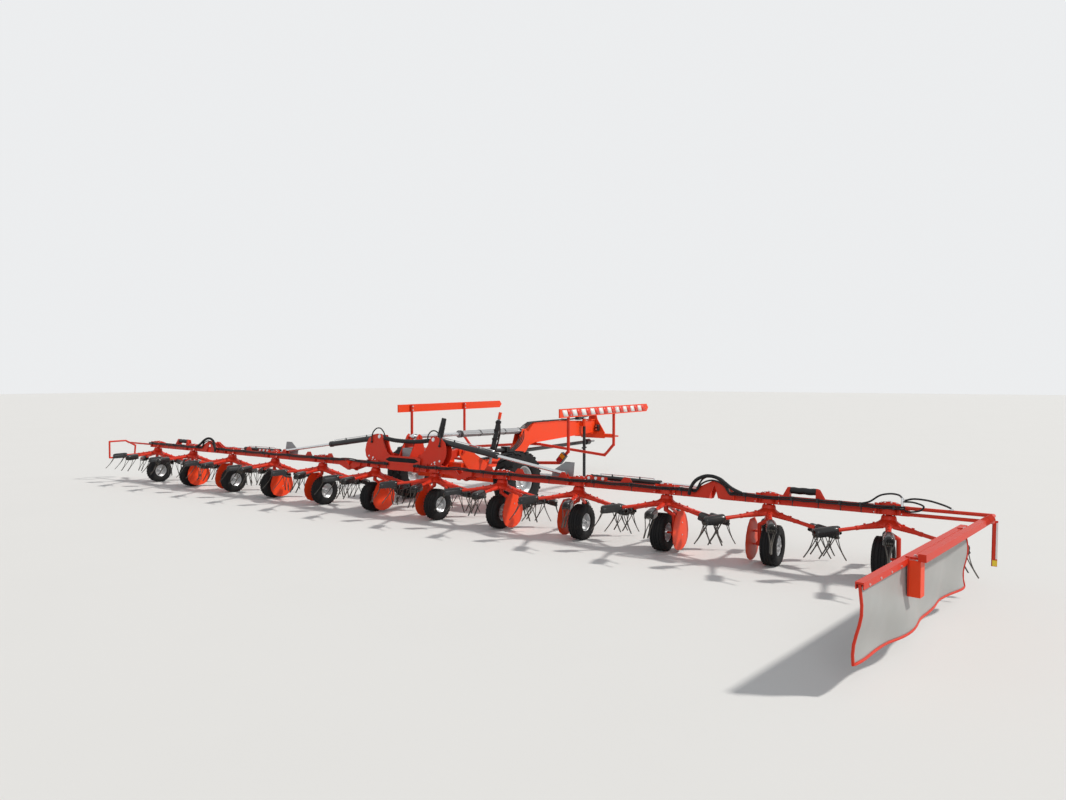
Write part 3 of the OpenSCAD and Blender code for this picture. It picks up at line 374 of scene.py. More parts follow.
finish("hose", shader("hose", (0.010, 0.010, 0.011), 0.42, gloss=0.3, grain=60))
HOSE_R = 0.0085
bm, blocks, bright = bmesh.new(), bmesh.new(), bmesh.new()
for k, x in enumerate((-0.045, -0.015, 0.015, 0.045)):
    front = [(x * 1.5, 4.955, 1.155), (x, 4.85, 1.122 + 0.004 * k), (x, 4.40, 1.098), (x, 3.75, 1.1025)]
    neck = [(x, 3.05, 1.1025), (x, 2.93, 1.085), (x * 1.2, 2.82, 1.035), (x * 1.3, 2.72, 0.96 + 0.01 * k)]
    spine = [(x + 0.085, 2.60, 0.86), (x + 0.095, 2.44, 0.74), (x + 0.055, 2.20, 0.640),
             (x * 0.9, 1.80, 0.612), (x * 0.9, 1.36, 0.612)]
    add_tube(bm, smooth_path(front + neck + spine, 7), HOSE_R)
    add_rod(bright, (x * 1.5, 4.955, 1.150), (x * 1.5, 5.000, 1.164), 0.0115, 12)
for y in (4.62, 4.05, 3.45):
    add_box(blocks, (-0.062, y - 0.014, 1.080), (0.062, y + 0.014, 1.116))
add_box(blocks, (0.035, 4.36, 1.0805), (0.115, 4.46, 1.175))
add_box(blocks, (-0.078, 4.996, 1.119), (0.078, 5.012, 1.172))
piece("drawbar_hoses", bm, "hose", "carriage")
soften(piece("drawbar_clamps", blocks, "black_paint", "carriage"))
piece("hose_ends", bright, "steel", "carriage")

# Guard boards
# Two sheet boards with red and white warning foil, each bolted to two round tubes that come out from
# the carriage and turn up in wide bends. The foil's stripes lean across the boards' outer faces.
finish("red_paint", shader("red", (0.62, 0.028, 0.008), 0.45, coat=0.03, gloss=0.3, grime=0.12, grain=5))
WHITE = shader("white_stripe", (0.80, 0.80, 0.78), 0.4, grime=0.10, grain=8)
SIGNAL_RED = shader("signal_red", (0.70, 0.025, 0.008), 0.4, grime=0.08, grain=8)
BOARD_X, FOIL, FOIL_LOW, FOIL_HIGH = 1.5383, 0.0008, 1.296, 1.387
STRIPES, STRIPE_PITCH, STRIPE, LEAN = 10, 0.257, 0.125, 0.045
TUBE_Y = (1.750, 3.100)
for name, side in SIDES:
    for colour, start, width, material in (("white", 1.520, STRIPE, WHITE),
                                           ("red", 1.520 + STRIPE, STRIPE_PITCH - STRIPE, SIGNAL_RED)):
        bm = bmesh.new()
        for k in range(STRIPES):
            y = start + k * STRIPE_PITCH
            corners = [(y, FOIL_HIGH), (y + width, FOIL_HIGH), (y + width + LEAN, FOIL_LOW),
                       (y + LEAN, FOIL_LOW)]
            bm.faces.new([bm.verts.new((side * (BOARD_X + FOIL), a, b)) for a, b in corners])
        foil = piece(f"board_stripes_{colour}_{name}", bm, "orange_paint", "carriage", material)
        foil.modifiers.new("foil", "SOLIDIFY").thickness = FOIL
    bm = bmesh.new()
    for y in TUBE_Y:
        for z in (1.312, 1.372):
            add_bolt(bm, (side * (BOARD_X - 0.0178), y, z), (side, 0, 0), 0.009, 0.026)
            add_rod(bm, (side * 1.470, y, z), (side * 1.481, y, z), 0.012, 8)
    piece(f"board_bolts_{name}", bm, "steel", "carriage")
bm = bmesh.new()
for side in (1, -1):
    for y, root_x, root_z in ((TUBE_Y[0], 0.090, 0.550), (TUBE_Y[1], 0.100, 0.735)):
        route = [(root_x, y, root_z), (1.240, y, 0.6235 + (root_z - 0.62) * 0.07), (1.325, y, 0.628),
                 (1.372, y, 0.657), (1.452, y, 0.746), (1.489, y, 0.790), (1.4985, y, 0.835),
                 (1.4985, y, 1.395)]
        add_tube(bm, smooth_path(pair(side, route), 5), 0.0225, 18)
piece("guard_tubes", bm, "red_paint", "carriage")

# Tail lamps
# Black moulded lamps with a red and an amber lens, each on a small bracket in the bend of a rear
# guard tube. They lean outwards with the tube.
LENSES = (("red", "red_paint", shader("red_lens", (0.45, 0.01, 0.01), 0.12, coat=0.6), -0.068, 0.005),
          ("amber", "orange_paint", shader("amber_lens", (0.75, 0.22, 0.01), 0.12, coat=0.6), 0.012, 0.068))
for name, side in SIDES:
    lean = Matrix.Rotation(side * math.radians(40), 4, "Y")
    place = ROW @ Matrix.Translation((side * 1.420, 1.700, 0.700)) @ lean
    bm = bmesh.new()
    add_box(bm, (-0.045, -0.030, -0.075), (0.045, 0.030, 0.075))
    add_box(bm, (-0.012, 0.030, -0.020), (0.012, 0.052, 0.020))
    piece(f"lamp_{name}", bm, "black_paint", "carriage", place=place)
    for colour, slot, material, low, high in LENSES:
        bm = bmesh.new()
        add_box(bm, (-0.038, -0.038, low), (0.038, -0.030, high))
        piece(f"lamp_{colour}_{name}", bm, slot, "carriage", material, place)

# Hose stand
# A leaning grey post on the carriage with an orange tip. Rubber rings and a sleeve hold the row's
# hoses against it, and two of them hang down from it to the spine.
GREY = shader("grey_paint", (0.26, 0.27, 0.28), 0.45, grime=0.2, grain=10)
bm, tip, dark = bmesh.new(), bmesh.new(), bmesh.new()
foot, head = Vector((0.452, 1.290, 0.600)), Vector((0.500, 1.450, 1.235))
half_ring = Vector((0, 0, 0.016))
add_rod(bm, foot, head, 0.020, 16)
for share in (0.35, 0.55, 0.75, 0.93):
    centre = foot.lerp(head, share)
    add_rod(dark, centre - half_ring, centre + half_ring, 0.043, 16)
add_rod(dark, foot.lerp(head, 0.30), foot.lerp(head, 0.97), 0.034, 18)
for share, hang in ((0.93, [(0.46, 1.52, 1.16), (0.40, 1.60, 1.00), (0.30, 1.66, 0.83), (0.15, 1.74, 0.70),
                            (0.06, 1.90, 0.625)]),
                    (0.75, [(0.44, 1.50, 1.05), (0.36, 1.62, 0.90), (0.24, 1.70, 0.74), (0.10, 1.80, 0.640),
                            (0.03, 1.98, 0.620)])):
    add_tube(dark, smooth_path([foot.lerp(head, share), *hang], 8), 0.011)
add_rod(tip, head, head.lerp(foot, -0.155), 0.024, 16)
piece("hose_stand", bm, "steel", "carriage", GREY)
piece("hose_stand_clips", dark, "hose", "carriage")
piece("hose_stand_tip", tip, "orange_paint", "carriage")

# Centre frame
# Rounded horns of red plate stand on both sides of the lift cylinders, with their pins' heads outside.
# A plate joins them low down and carries a bare black strip, in front of the cast iron gearbox.
# TILTED is the place of the beams and rotors, which lean forward by 10 degrees.
TILTED = ROW @ Matrix.Translation((0, 0, 0.52)) @ Matrix.Rotation(math.radians(-10), 4, "X")
HORN = [(0.640, 0.168), (0.705, 0.230), (0.735, 0.310), (0.728, 0.400), (0.690, 0.475), (0.625, 0.525),
        (0.545, 0.545), (0.450, 0.545), (0.425, 0.500), (0.400, 0.425), (0.360, 0.350), (0.300, 0.290),
        (0.215, 0.245), (0.215, 0.168)]
HORN_V, HORN_T = 0.0595, 0.007
HORN_BOLTS = ((0.490, 0.510, 0.020), (0.640, 0.235, 0.010), (0.300, 0.215, 0.010), (0.560, 0.215, 0.010))


def add_plate(bm, outline, v, thick, side=1):
    """A flat plate from an outline in x and w, drawn out to its thickness from its rear face at v."""
    rear = bm.faces.new([bm.verts.new((side * x, v, w)) for x, w in outline])
    drawn = bmesh.ops.extrude_face_region(bm, geom=[rear])["geom"]
    front = [e for e in drawn if isinstance(e, bmesh.types.BMVert)]
    bmesh.ops.translate(bm, vec=(0, thick, 0), verts=front)


finish("cast", shader("cast", (0.30, 0.30, 0.31), 0.6, grime=0.3, grain=12, bump=0.3))
bm, bolts = bmesh.new(), bmesh.new()
for side in (1, -1):
    add_plate(bm, HORN, -HORN_V, HORN_T, side)
    add_plate(bm, HORN, HORN_V - HORN_T, HORN_T, side)
    for x, w, r in HORN_BOLTS:
        for facing in (-1, 1):
            add_bolt(bolts, (side * x, facing * HORN_V, w), (0, facing, 0), r, 0.012)
add_plate(bm, [(-0.330, 0.150), (0.330, 0.150), (0.330, 0.245), (0.250, 0.262), (-0.250, 0.262),
               (-0.330, 0.245)], -0.0860, 0.0055)
piece("horns", bm, "red_paint", "centre", place=TILTED)
piece("horn_bolts", bolts, "steel", "centre", place=TILTED)
STRIP = shader("matte_strip", (0.012, 0.012, 0.013), 0.75, gloss=0.15, grime=0.05, grain=20)
bm = bmesh.new()
add_plate(bm, [(-0.300, 0.205), (-0.230, 0.180), (0.230, 0.180), (0.300, 0.205), (0.230, 0.238),
               (-0.230, 0.238)], -0.0872, 0.0012)
piece("blank_strip", bm, "black_paint", "centre", STRIP, TILTED)

# Hose sleeve
# A ribbed rubber sleeve carries the lift cylinders' hoses from horn to horn. Its two short hoses
# arch behind the horns into round fittings.
bm = bmesh.new()
sleeve = smooth_path([(-0.405, -0.034, 0.492), (-0.20, -0.036, 0.470), (0.05, -0.036, 0.466),
                      (0.25, -0.036, 0.476), (0.405, -0.034, 0.496)], 12)
add_tube(bm, sleeve, 0.027, 16)
half_rib = Vector((0.004, 0, 0))
for k in range(2, len(sleeve) - 2, 2):
    add_tube(bm, [sleeve[k] - half_rib, sleeve[k] + half_rib], 0.0295, 16)
ARCH = [(0.385, -0.050, 0.500), (0.405, -0.070, 0.565), (0.465, -0.078, 0.618), (0.540, -0.079, 0.618),
        (0.600, -0.077, 0.570), (0.622, -0.075, 0.505), (0.615, -0.073, 0.440)]
for side in (1, -1):
    add_tube(bm, smooth_path(pair(side, ARCH), 8), HOSE_R)
    add_rod(bm, (side * 0.615, -0.0590, 0.428), (side * 0.615, -0.0840, 0.428), 0.014, 12)
piece("hose_sleeve", bm, "hose", "centre", place=TILTED)

# Hose cap
# A corrugated rubber cap that tapers to its top, on a short red post with a foot plate, welded to the
# right-hand tilt arm.
foot, head = Vector((0.255, 0.30, 0.325)), Vector((0.290, 0.34, 0.835))
bm = bmesh.new()
for k in range(15):
    low, high = (0.50 + (k + part) * 0.033 for part in (0, 0.62))
    add_rod(bm, foot.lerp(head, low), foot.lerp(head, high), 0.046 - 0.0009 * k, 20)
add_rod(bm, foot.lerp(head, 0.46), head, 0.033, 18)
piece("hose_cap", bm, "hose", "centre", place=TILTED)
bm = bmesh.new()
add_rod(bm, foot, foot.lerp(head, 0.47), 0.020, 14)
add_box(bm, foot - Vector((0.035, 0.035, 0.004)), foot + Vector((0.035, 0.035, 0.012)))
piece("hose_cap_post", bm, "red_paint", "centre", place=TILTED)

# Gear cases
# A gear case sits over each rotor, in line with the beams. Eight steel bolts hold its lid round a
# hexagon plug, and two pairs hold its side plates.
PITCH = 1.085
ROTORS_ON = {"outer_wing_l": (1, 2), "inner_wing_l": (3, 4, 5), "centre": (6, 7),
             "inner_wing_r": (8, 9, 10), "outer_wing_r": (11, 12)}


def rotor_x(n):
    return (n - 6.5) * PITCH


for body, rotors in ROTORS_ON.items():
    bm = bmesh.new()
    for n in rotors:
        for x, v in around(8, 0.070, math.radians(22.5)):
            add_bolt(bm, (rotor_x(n) + x, v, 0.186), (0, 0, 1), 0.0075, 0.009)
        for side in (-1, 1):
            for w in (0.095, 0.160):
                add_bolt(bm, (rotor_x(n) + side * 0.110, -0.074, w), (side, 0, 0), 0.007, 0.008)
        add_rod(bm, (rotor_x(n), 0, 0.197), (rotor_x(n), 0, 0.207), 0.016, 6)
    piece(f"beam_bolts_{body}", bm, "steel", body, place=TILTED)

# Rotors
# A cast bell on its spindle carries six tube arms in flared sockets. Each arm ends in a long black
# cover, round on top and open below, over two coils of spring steel with two prongs each.
COVER = shader("tine_cover", (0.010, 0.010, 0.011), 0.24, coat=0.18, gloss=0.35, grime=0.08, grain=14)
TINE = shader("tine_steel", (0.07, 0.065, 0.06), 0.42, metallic=0.9, grime=0.3, grain=30)
SLOPE = math.radians(12)
ARM_R, ARM_END, SOCKET_R = 0.017, 0.505, 0.034
BELL = [(0.0252, 0.074), (0.058, 0.074), (0.064, 0.060), (0.068, 0.034), (0.085, 0.020), (0.107, 0.006),
        (0.129, -0.012), (0.135, -0.020), (0.135, -0.032), (0.127, -0.038), (0.0252, -0.038)]
COVER_HALF, COVER_RISE, COVER_DROP, COVER_WALL = 0.046, 0.0445, 0.042, 0.86
COVER_ENDS = [(0.490, 0.62, 0.66), (0.497, 0.84, 0.86), (0.512, 0.97, 0.97), (0.545, 1.0, 1.0),
              (0.655, 1.0, 1.0), (0.688, 0.96, 0.96), (0.703, 0.82, 0.84), (0.710, 0.58, 0.62)]
COIL_AT, COIL_R, COIL_HALF, COIL_TURNS, COIL_STEPS = (0.520, 0.680), 0.0165, 0.033, 5, 9
TIP, PRONG_LEAN = 0.370, math.radians(27)


def six_round(bm):
    """Copies all that bm holds to six places round the spindle."""
    bmesh.ops.spin(bm, geom=[*bm.verts, *bm.edges, *bm.faces], cent=(0, 0, 0), axis=(0, 0, 1),
                   angle=math.radians(300), steps=5, use_duplicate=True)


def bell_and_arms():
    bm = bmesh.new()
    add_rod(bm, (0.03, 0, 0), (ARM_END, 0, 0), ARM_R, 14)
    # The flared socket, its collar and its two bolts
    add_rod(bm, (0.060, 0, 0), (0.300, 0, 0), SOCKET_R, 20, 0.0180)
    add_rod(bm, (0.296, 0, 0), (0.316, 0, 0), 0.0215, 20)
    for at in (0.140, 0.230):
        add_rod(bm, (at, 0, 0.015), (at, 0, 0.036 - 0.04 * (at - 0.14)), 0.009, 6)
    bmesh.ops.rotate(bm, matrix=Matrix.Rotation(SLOPE, 3, "Y"), verts=bm.verts)
    six_round(bm)
    add_turned(bm, [(r, 0, h) for r, h in BELL], 48, axis=(0, 0, 1))
    for x, y in around(8, 0.0465):
        add_rod(bm, (x, y, 0.073), (x, y, 0.081), 0.006, 6)
    return bm


def tine_covers():
    """Open sections along the cover, bridged from end to end and closed by a wall at both ends."""
    bm = bmesh.new()
    arc = [(math.cos(math.pi * i / 10), math.sin(math.pi * i / 10)) for i in range(11)]
    outer = [(COVER_HALF, -COVER_DROP), *((COVER_HALF * y, COVER_RISE * z) for y, z in arc),
             (-COVER_HALF, -COVER_DROP)]
    inner = [(y * COVER_WALL, z * COVER_WALL if z > 0 else z) for y, z in reversed(outer)]
    loops, edges = [], []
    for at, wide, high in COVER_ENDS:
        loop = [bm.verts.new((at, y * wide, z * high)) for y, z in outer + inner]
        loops.append(loop)
        edges += [bm.edges.new(ends) for ends in zip(loop, loop[1:] + loop[:1])]
    bmesh.ops.bridge_loops(bm, edges=edges)
    for loop in (loops[0], loops[-1]):
        bm.faces.new(loop[:len(outer)])
        bm.faces.new(loop[len(outer):])
    bmesh.ops.rotate(bm, matrix=Matrix.Rotation(SLOPE, 3, "Y"), verts=bm.verts)
    six_round(bm)
    return bm


def tines():
    """Coils that hang under the cover, with two prongs from each, one a little shorter."""
    bm = bmesh.new()
    for at, longer in zip(COIL_AT, (1, -1)):
        top = -at * math.tan(SLOPE) - COVER_DROP + 0.019
        count = COIL_TURNS * COIL_STEPS
        coil = []
        for i in range(count + 1):
            t = 2 * math.pi * i / COIL_STEPS
            coil.append((at + COIL_R * math.cos(t), COIL_HALF * (2 * i / count - 1),
                         top + COIL_R * math.sin(t)))
        add_tube(bm, coil, 0.0042, 5)
        for side in (-1, 1):
            length = (TIP + top) / math.cos(PRONG_LEAN) * (1 if side == longer else 0.985)
            prong = []
            for s in (i / 6 for i in range(7)):
                bow = 0.012 * math.sin(math.pi * s)
                prong.append((at + length * s * math.sin(PRONG_LEAN) - bow,
                              side * (COIL_HALF - 0.029 * min(1, s * 1.6)),
                              top - length * s * math.cos(PRONG_LEAN)))
            add_tube(bm, prong, 0.0045, 6)
    six_round(bm)
    return bm


# Neighbouring rotors start at different angles, so that their covers pass between one another
for n in range(1, 13):
    first_arm = math.radians(170 if n % 2 else 40)
    place = TILTED @ Matrix.Translation((rotor_x(n), 0, 0)) @ Matrix.Rotation(first_arm, 4, "Z")
    body = f"rotor_{n}"
    piece(f"{body}_arms", bell_and_arms(), "red_paint", body, place=place, replaces=[body])
    piece(f"{body}_covers", tine_covers(), "black_paint", body, COVER, place)
    piece(f"{body}_tines", tines(), "steel", body, TINE, place)

# Rotor wheels
# Ribbed balloon tyres with blocks on their shoulders, on pressed rims with five bolts a side. Steel
# caps close the hubs, and a longer one covers the axle's end away from the leg.
SMALL_R = 0.200
TYRE_HALF = [(0.103, 0.050), (0.106, 0.070), (0.126, 0.080), (0.160, 0.079), (0.184, 0.072),
             (0.195, 0.060), (0.1975, 0.048), (0.192, 0.046), (0.192, 0.040), (0.199, 0.038),
             (0.1995, 0.016), (0.194, 0.014), (0.194, 0.007), (0.200, 0.005)]
RIM_HALF = [(0.104, 0.052), (0.100, 0.056), (0.094, 0.052), (0.090, 0.030), (0.086, 0.008),
            (0.060, 0.006), (0.046, 0.012), (0.038, 0.030), (0.0126, 0.030)]
BLOCKS = 28


def guard_side(n):
    """The side of rotor n's wheel on which its crop guard stands: 1 to the right, -1 to the left."""
    return 1 if n % 2 == 0 else -1


def small_tyre():
    bm = bmesh.new()
    add_turned(bm, wheel_section(TYRE_HALF), 56)
    for k in range(BLOCKS):
        for side, shift in ((-1, 0), (1, 0.11)):
            turn = Matrix.Rotation(2 * math.pi * k / BLOCKS + shift, 4, "X")
            middle = side * 0.056
            add_box(bm, (middle - 0.009, -0.007, 0.188), (middle + 0.009, 0.007, 0.1985), turn)
    return bm


def small_rim():
    bm = bmesh.new()
    add_turned(bm, wheel_section(RIM_HALF), 48)
    for side in (-1, 1):
        for y, z in around(5, 0.050):
            add_bolt(bm, (side * 0.009, y, z), (side, 0, 0), 0.0065, 0.007)
    return bm


for n in range(1, 13):
    side = guard_side(n)
    body = f"wheel_{n}"
    place = ROW @ Matrix.Translation((rotor_x(n) - side * 0.040, 0, SMALL_R))
    piece(f"{body}_tyre", small_tyre(), "tyre", body, place=place, replaces=[body])
    piece(f"{body}_rim", small_rim(), "rim", body, place=place)
    bm = bmesh.new()
    for end in (-1, 1):
        add_rod(bm, (end * 0.031, 0, 0), (end * 0.052, 0, 0), 0.030, 24, 0.021)
    add_rod(bm, (-side * 0.052, 0, 0), (-side * 0.0825, 0, 0), 0.0185, 18, 0.0155)
    piece(f"hub_caps_{n}", bm, "rim", body, place=place)

# Crop guards
# Egg-shaped orange sheets beside ten of the wheels, pressed to an upright crease on both faces and
# held to the wheel's leg by two bolts.
EDGE = [(-0.205, 0.215), (-0.192, 0.140), (-0.150, 0.078), (-0.080, 0.041), (0.0, 0.0295),
        (0.080, 0.041), (0.150, 0.078), (0.192, 0.140), (0.205, 0.215), (0.186, 0.300),
        (0.143, 0.380), (0.072, 0.4455), (-0.072, 0.4455), (-0.143, 0.380), (-0.186, 0.300)]
LOW_CORNERS = 9
CREASE_ENDS, CREASE_RISE, SHEET_GAP = ((0.045, 0.085), (0.020, 0.420)), 0.013, 0.0004
BODY_OF = {n: body for body, rotors in ROTORS_ON.items() for n in rotors}


def add_creased(bm, x, out):
    """One pressed face at x: the sheet rises from its lower corners to the low end of the crease, and
    from the others to the high end."""
    edge = [bm.verts.new((x + out * SHEET_GAP, y, z)) for y, z in EDGE]
    low, high = (bm.verts.new((x + out * CREASE_RISE, y, z)) for y, z in CREASE_ENDS)
    top = [low if k < LOW_CORNERS else high for k in range(len(edge))]
    for k in range(len(edge)):
        j = (k + 1) % len(edge)
        bm.faces.new([edge[k], edge[j], top[j]] + ([top[k]] if top[k] is not top[j] else []))


for n in range(2, 12):
    side = guard_side(n)
    face = rotor_x(n) + side * 0.1622
    bm, bolts = bmesh.new(), bmesh.new()
    add_creased(bm, face, side)
    add_creased(bm, rotor_x(n) + side * 0.1578, -side)
    for z in (0.190, 0.320):
        add_bolt(bolts, (face + side * 0.009, 0.012, z), (side, 0, 0), 0.008, 0.007)
    piece(f"guard_crease_{n}", bm, "orange_paint", BODY_OF[n])
    piece(f"guard_bolts_{n}", bolts, "steel", BODY_OF[n])

# Inner wings
# Grey sheet shields bend over the lift rods' eyes. Red lugs of plate stand on the beam, and three
# bright caps close the fold cylinder's base beside them.
for name, side in SIDES:
    body = f"inner_wing_{name}"
    bm = bmesh.new()
    add_plate(bm, [(2.290, 0.172), (2.290, 0.235), (2.460, 0.352), (2.585, 0.352), (2.585, 0.172)],
              0.0620, 0.004, side)
    add_box(bm, (side * 2.460, 0.0520, 0.349), (side * 2.535, 0.0660, 0.353))
    piece(f"eye_shield_{name}", bm, "steel", body, GREY, TILTED)
    bm, caps = bmesh.new(), bmesh.new()
    for x in (1.440, 1.900, 3.330):
        lug = [(x - 0.075, 0.168), (x + 0.075, 0.168), (x + 0.038, 0.222), (x - 0.030, 0.226)]
        add_plate(bm, lug, -0.0515, 0.005, side)
    for x in (2.860, 2.950, 3.040):
        add_rod(caps, (side * x, -0.0515, 0.186), (side * x, -0.064, 0.186), 0.017, 18)
    add_box(bm, (side * 2.81, -0.0515, 0.166), (side * 3.09, -0.046, 0.206))
    piece(f"inner_lugs_{name}", bm, "red_paint", body, place=TILTED)
    piece(f"inner_caps_{name}", caps, "rim", body, place=TILTED)

# Outer wings
# The folded wing rests on a bar padded with ribbed black foam. Two pairs of red plates, welded to the
# beam, hold the bar.
for name, side in SIDES:
    body = f"outer_wing_{name}"
    bm = bmesh.new()
    for v in (-0.0315, 0.0255):
        for bracket in ([(5.015, 0.1690), (5.076, 0.1690), (5.076, 0.2590), (5.060, 0.2590)],
                        [(5.334, 0.1690), (5.405, 0.1690), (5.350, 0.2590), (5.334, 0.2590)]):
            add_plate(bm, bracket, v, 0.006, side)
    piece(f"foam_brackets_{name}", bm, "red_paint", body, place=TILTED)
    bm = bmesh.new()
    foam = [(side * (5.088 + 0.0265 * k), 0, 0.230 + 0.0022 * math.sin(k * 1.7)) for k in range(10)]
    add_tube(bm, foam, 0.0325, 20)
    pad = piece(f"foam_{name}", bm, "hose", body, place=TILTED)

# Cylinders
# Black barrels with a gland, an end ring and two clamps that hold a hard steel pipe between their
# ports. The tilt cylinder's barrel is painted silver grey.
LIFT = ("lift", (0.490, 0, 0.510), (2.500, 0, 0.212), 0.038, 1.030)
FOLD = ("fold", (2.800, 0.126, 0.205), (4.220, 0.126, 0.190), 0.028, 0.860)
TILT = ("tilt", (0, 2.700, 0.980), (0, 0.200, 1.040), 0.048, 1.560)


def add_collar(bm, a, b, r, bore):
    """A ring from a to b round a barrel, its bore left open."""
    out = (b - a).to_track_quat("Z", "Y") @ Vector((1, 0, 0))
    add_turned(bm, [a + out * r, b + out * r, b + out * bore, a + out * bore], 28, a, (b - a).normalized())


def cylinder_trim(base, eye, r, length, lift=(0, 0, 1)):
    """The collars and the bright pipe along a barrel, as two bmeshes."""
    dark, bright = bmesh.new(), bmesh.new()
    base, eye, lift = Vector(base), Vector(eye), Vector(lift)
    along = (eye - base).normalized()
    up = (lift - along * lift.dot(along)).normalized()
    end, bore, pipe = base + along * length, r * 0.97, r + 0.012
    add_collar(dark, end - along * 0.045, end + along * 0.002, r * 1.12, bore)
    add_collar(dark, base + along * 0.050, base + along * 0.075, r * 1.08, bore)
    ports = base + along * 0.11, end - along * 0.085
    for port in ports:
        add_rod(bright, port + up * r * 0.8, port + up * (pipe + 0.008), 0.010, 12)
    route = [ports[0] + up * pipe, ports[0] + along * 0.05 + up * (pipe + 0.004),
             ports[1] - along * 0.05 + up * (pipe + 0.004), ports[1] + up * pipe]
    add_tube(bright, smooth_path(route, 4), 0.0055, 8)
    for share in (0.3, 0.7):
        middle = base + along * length * share
        add_collar(dark, middle - along * 0.012, middle + along * 0.012, r * 1.05, bore)
        add_rod(dark, middle + up * r * 0.9, middle + up * (pipe + 0.010), 0.009, 8)
    return dark, bright


for name, side in SIDES:
    for kind, base, eye, r, length in (LIFT, FOLD):
        dark, bright = cylinder_trim(*pair(side, (base, eye)), r, length)
        piece(f"{kind}_collars_{name}", dark, "black_paint", f"{kind}_barrel_{name}", place=TILTED)
        piece(f"{kind}_pipe_{name}", bright, "steel", f"{kind}_barrel_{name}", place=TILTED)
dark, bright = cylinder_trim(*TILT[1:], lift=(1, 0, 0))
piece("tilt_collars", dark, "black_paint", "tilt_barrel")
piece("tilt_pipe", bright, "steel", "tilt_barrel")
barrel = frame["nodes"]["tilt_barrel"].data
barrel.materials.clear()
barrel.materials.append(shader("silver_paint", (0.33, 0.34, 0.35), 0.45, metallic=0.15, grime=0.15, grain=12))

# Beam hoses
# Pairs of rubber hoses run along the upper edge of the beams' rear faces, sag a little between their
# clips, and are tied to the beams with thin straps.
HOSE_V, HOSE_UP = -0.0985, (0.1385, 0.1565)
CLIPS = {"centre": (0.30, 0.62), "inner": (1.36, 1.78, 2.33, 2.93, 3.40, 3.98),
         "outer": (4.66, 5.12, 5.36, 5.56, 5.74, 6.02)}
REACH = {"centre": (0.230, 0.778), "inner": (1.222, 4.108), "outer": (4.562, 6.1125)}


def add_beam_hoses(hoses, straps, part, side):
    """The two hoses and the straps of one beam, on one side of the row's middle."""
    low, high = REACH[part]
    for up in HOSE_UP:
        held = [low, *CLIPS[part], high]
        route = []
        for one, two in zip(held, held[1:]):
            sag = 0.05 * min(0.16, (two - one) * 0.35)
            route += [(one, HOSE_V, up), ((one + two) / 2, HOSE_V, up - sag)]
        add_tube(hoses, smooth_path(pair(side, [*route, (high, HOSE_V, up)]), 6), HOSE_R)
    for x in CLIPS[part]:
        middle = side * x
        add_box(straps, (middle - 0.009, -0.1090, 0.1270), (middle + 0.009, -0.0498, 0.1700))
        add_box(straps, (middle - 0.004, -0.0520, 0.0785), (middle + 0.004, 0.0520, 0.1715))


HOSED = [("hoses_centre", "centre", "centre", (1, -1))]
for part in ("inner", "outer"):
    HOSED += [(f"hoses_{part}_{name}", f"{part}_wing_{name}", part, (side,)) for name, side in SIDES]
for node, body, part, sides in HOSED:
    bm, straps = bmesh.new(), bmesh.new()
    for side in sides:
        add_beam_hoses(bm, straps, part, side)
    piece(f"beam_{node}", bm, "hose", body, place=TILTED, replaces=[node])
    piece(f"hose_clips_{body}", straps, "black_paint", body, place=TILTED)

# Hinge loops
# Slack lengths of the same hoses bridge each hinge. Over the outer hinges, where they rise, a
# thick ribbed rubber guard arches beside them.
GUARD = [(4.095, -0.128, 0.096), (4.110, -0.130, 0.170), (4.160, -0.130, 0.250), (4.250, -0.130, 0.298),
         (4.350, -0.130, 0.300), (4.440, -0.128, 0.262), (4.540, -0.122, 0.196), (4.640, -0.116, 0.156)]
for name, side in SIDES:
    centre, inner, outer = "centre", f"inner_wing_{name}", f"outer_wing_{name}"
    for low, high, first, second, rise in ((0.778, 1.222, centre, inner, 0.012),
                                           (4.108, 4.562, inner, outer, 0.125)):
        bm = bmesh.new()
        mid = (low + high) / 2
        for k, w in enumerate(HOSE_UP):
            top = w + rise + 0.2 * rise * k
            near = top - 0.3 * rise
            route = [(low, HOSE_V, w), (low + 0.05, HOSE_V, w + 0.003), (mid - 0.11, -0.110, near),
                     (mid, -0.116, top), (mid + 0.11, -0.110, near), (high - 0.05, HOSE_V, w + 0.003),
                     (high, HOSE_V, w)]
            add_tube(bm, smooth_path(pair(side, route), 7), HOSE_R + 0.0004)
        loop = piece(f"hose_loop_{second}", bm, "hose", None, place=TILTED)
        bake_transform(loop)
    bm = bmesh.new()
    arch = smooth_path(pair(side, GUARD), 8)
    add_tube(bm, arch, 0.0165, 14)
    for one, two in zip(arch[1:], arch[2:]):
        add_tube(bm, [one.lerp(two, 0.30), one.lerp(two, 0.70)], 0.0190, 14)
    guard = piece(f"hinge_guard_{name}", bm, "hose", None, place=TILTED)
    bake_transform(guard)

# Right end
# The hoses end in loops round a steel tee on the last beam. At the corner hangs a red arm of angle
# with a white strip and a yellow reflector.
YELLOW = shader("yellow_reflector", (0.86, 0.62, 0.04), 0.3)
END_LOOPS = (([(5.740, -0.0985, 0.158), (5.820, -0.0985, 0.185), (5.900, -0.0960, 0.245),
               (5.985, -0.0920, 0.268), (6.055, -0.0900, 0.262), (6.086, -0.0890, 0.236)], HOSE_R),
             ([(6.098, -0.0890, 0.215), (6.180, -0.0920, 0.238), (6.300, -0.0920, 0.232),
               (6.410, -0.0860, 0.205), (6.470, -0.0720, 0.182)], HOSE_R),
             ([(6.098, -0.0960, 0.206), (6.180, -0.1120, 0.206), (6.260, -0.1200, 0.180),
               (6.235, -0.1180, 0.140), (6.165, -0.1040, 0.122), (6.110, -0.0900, 0.125)], 0.0080))
bm, bright = bmesh.new(), bmesh.new()
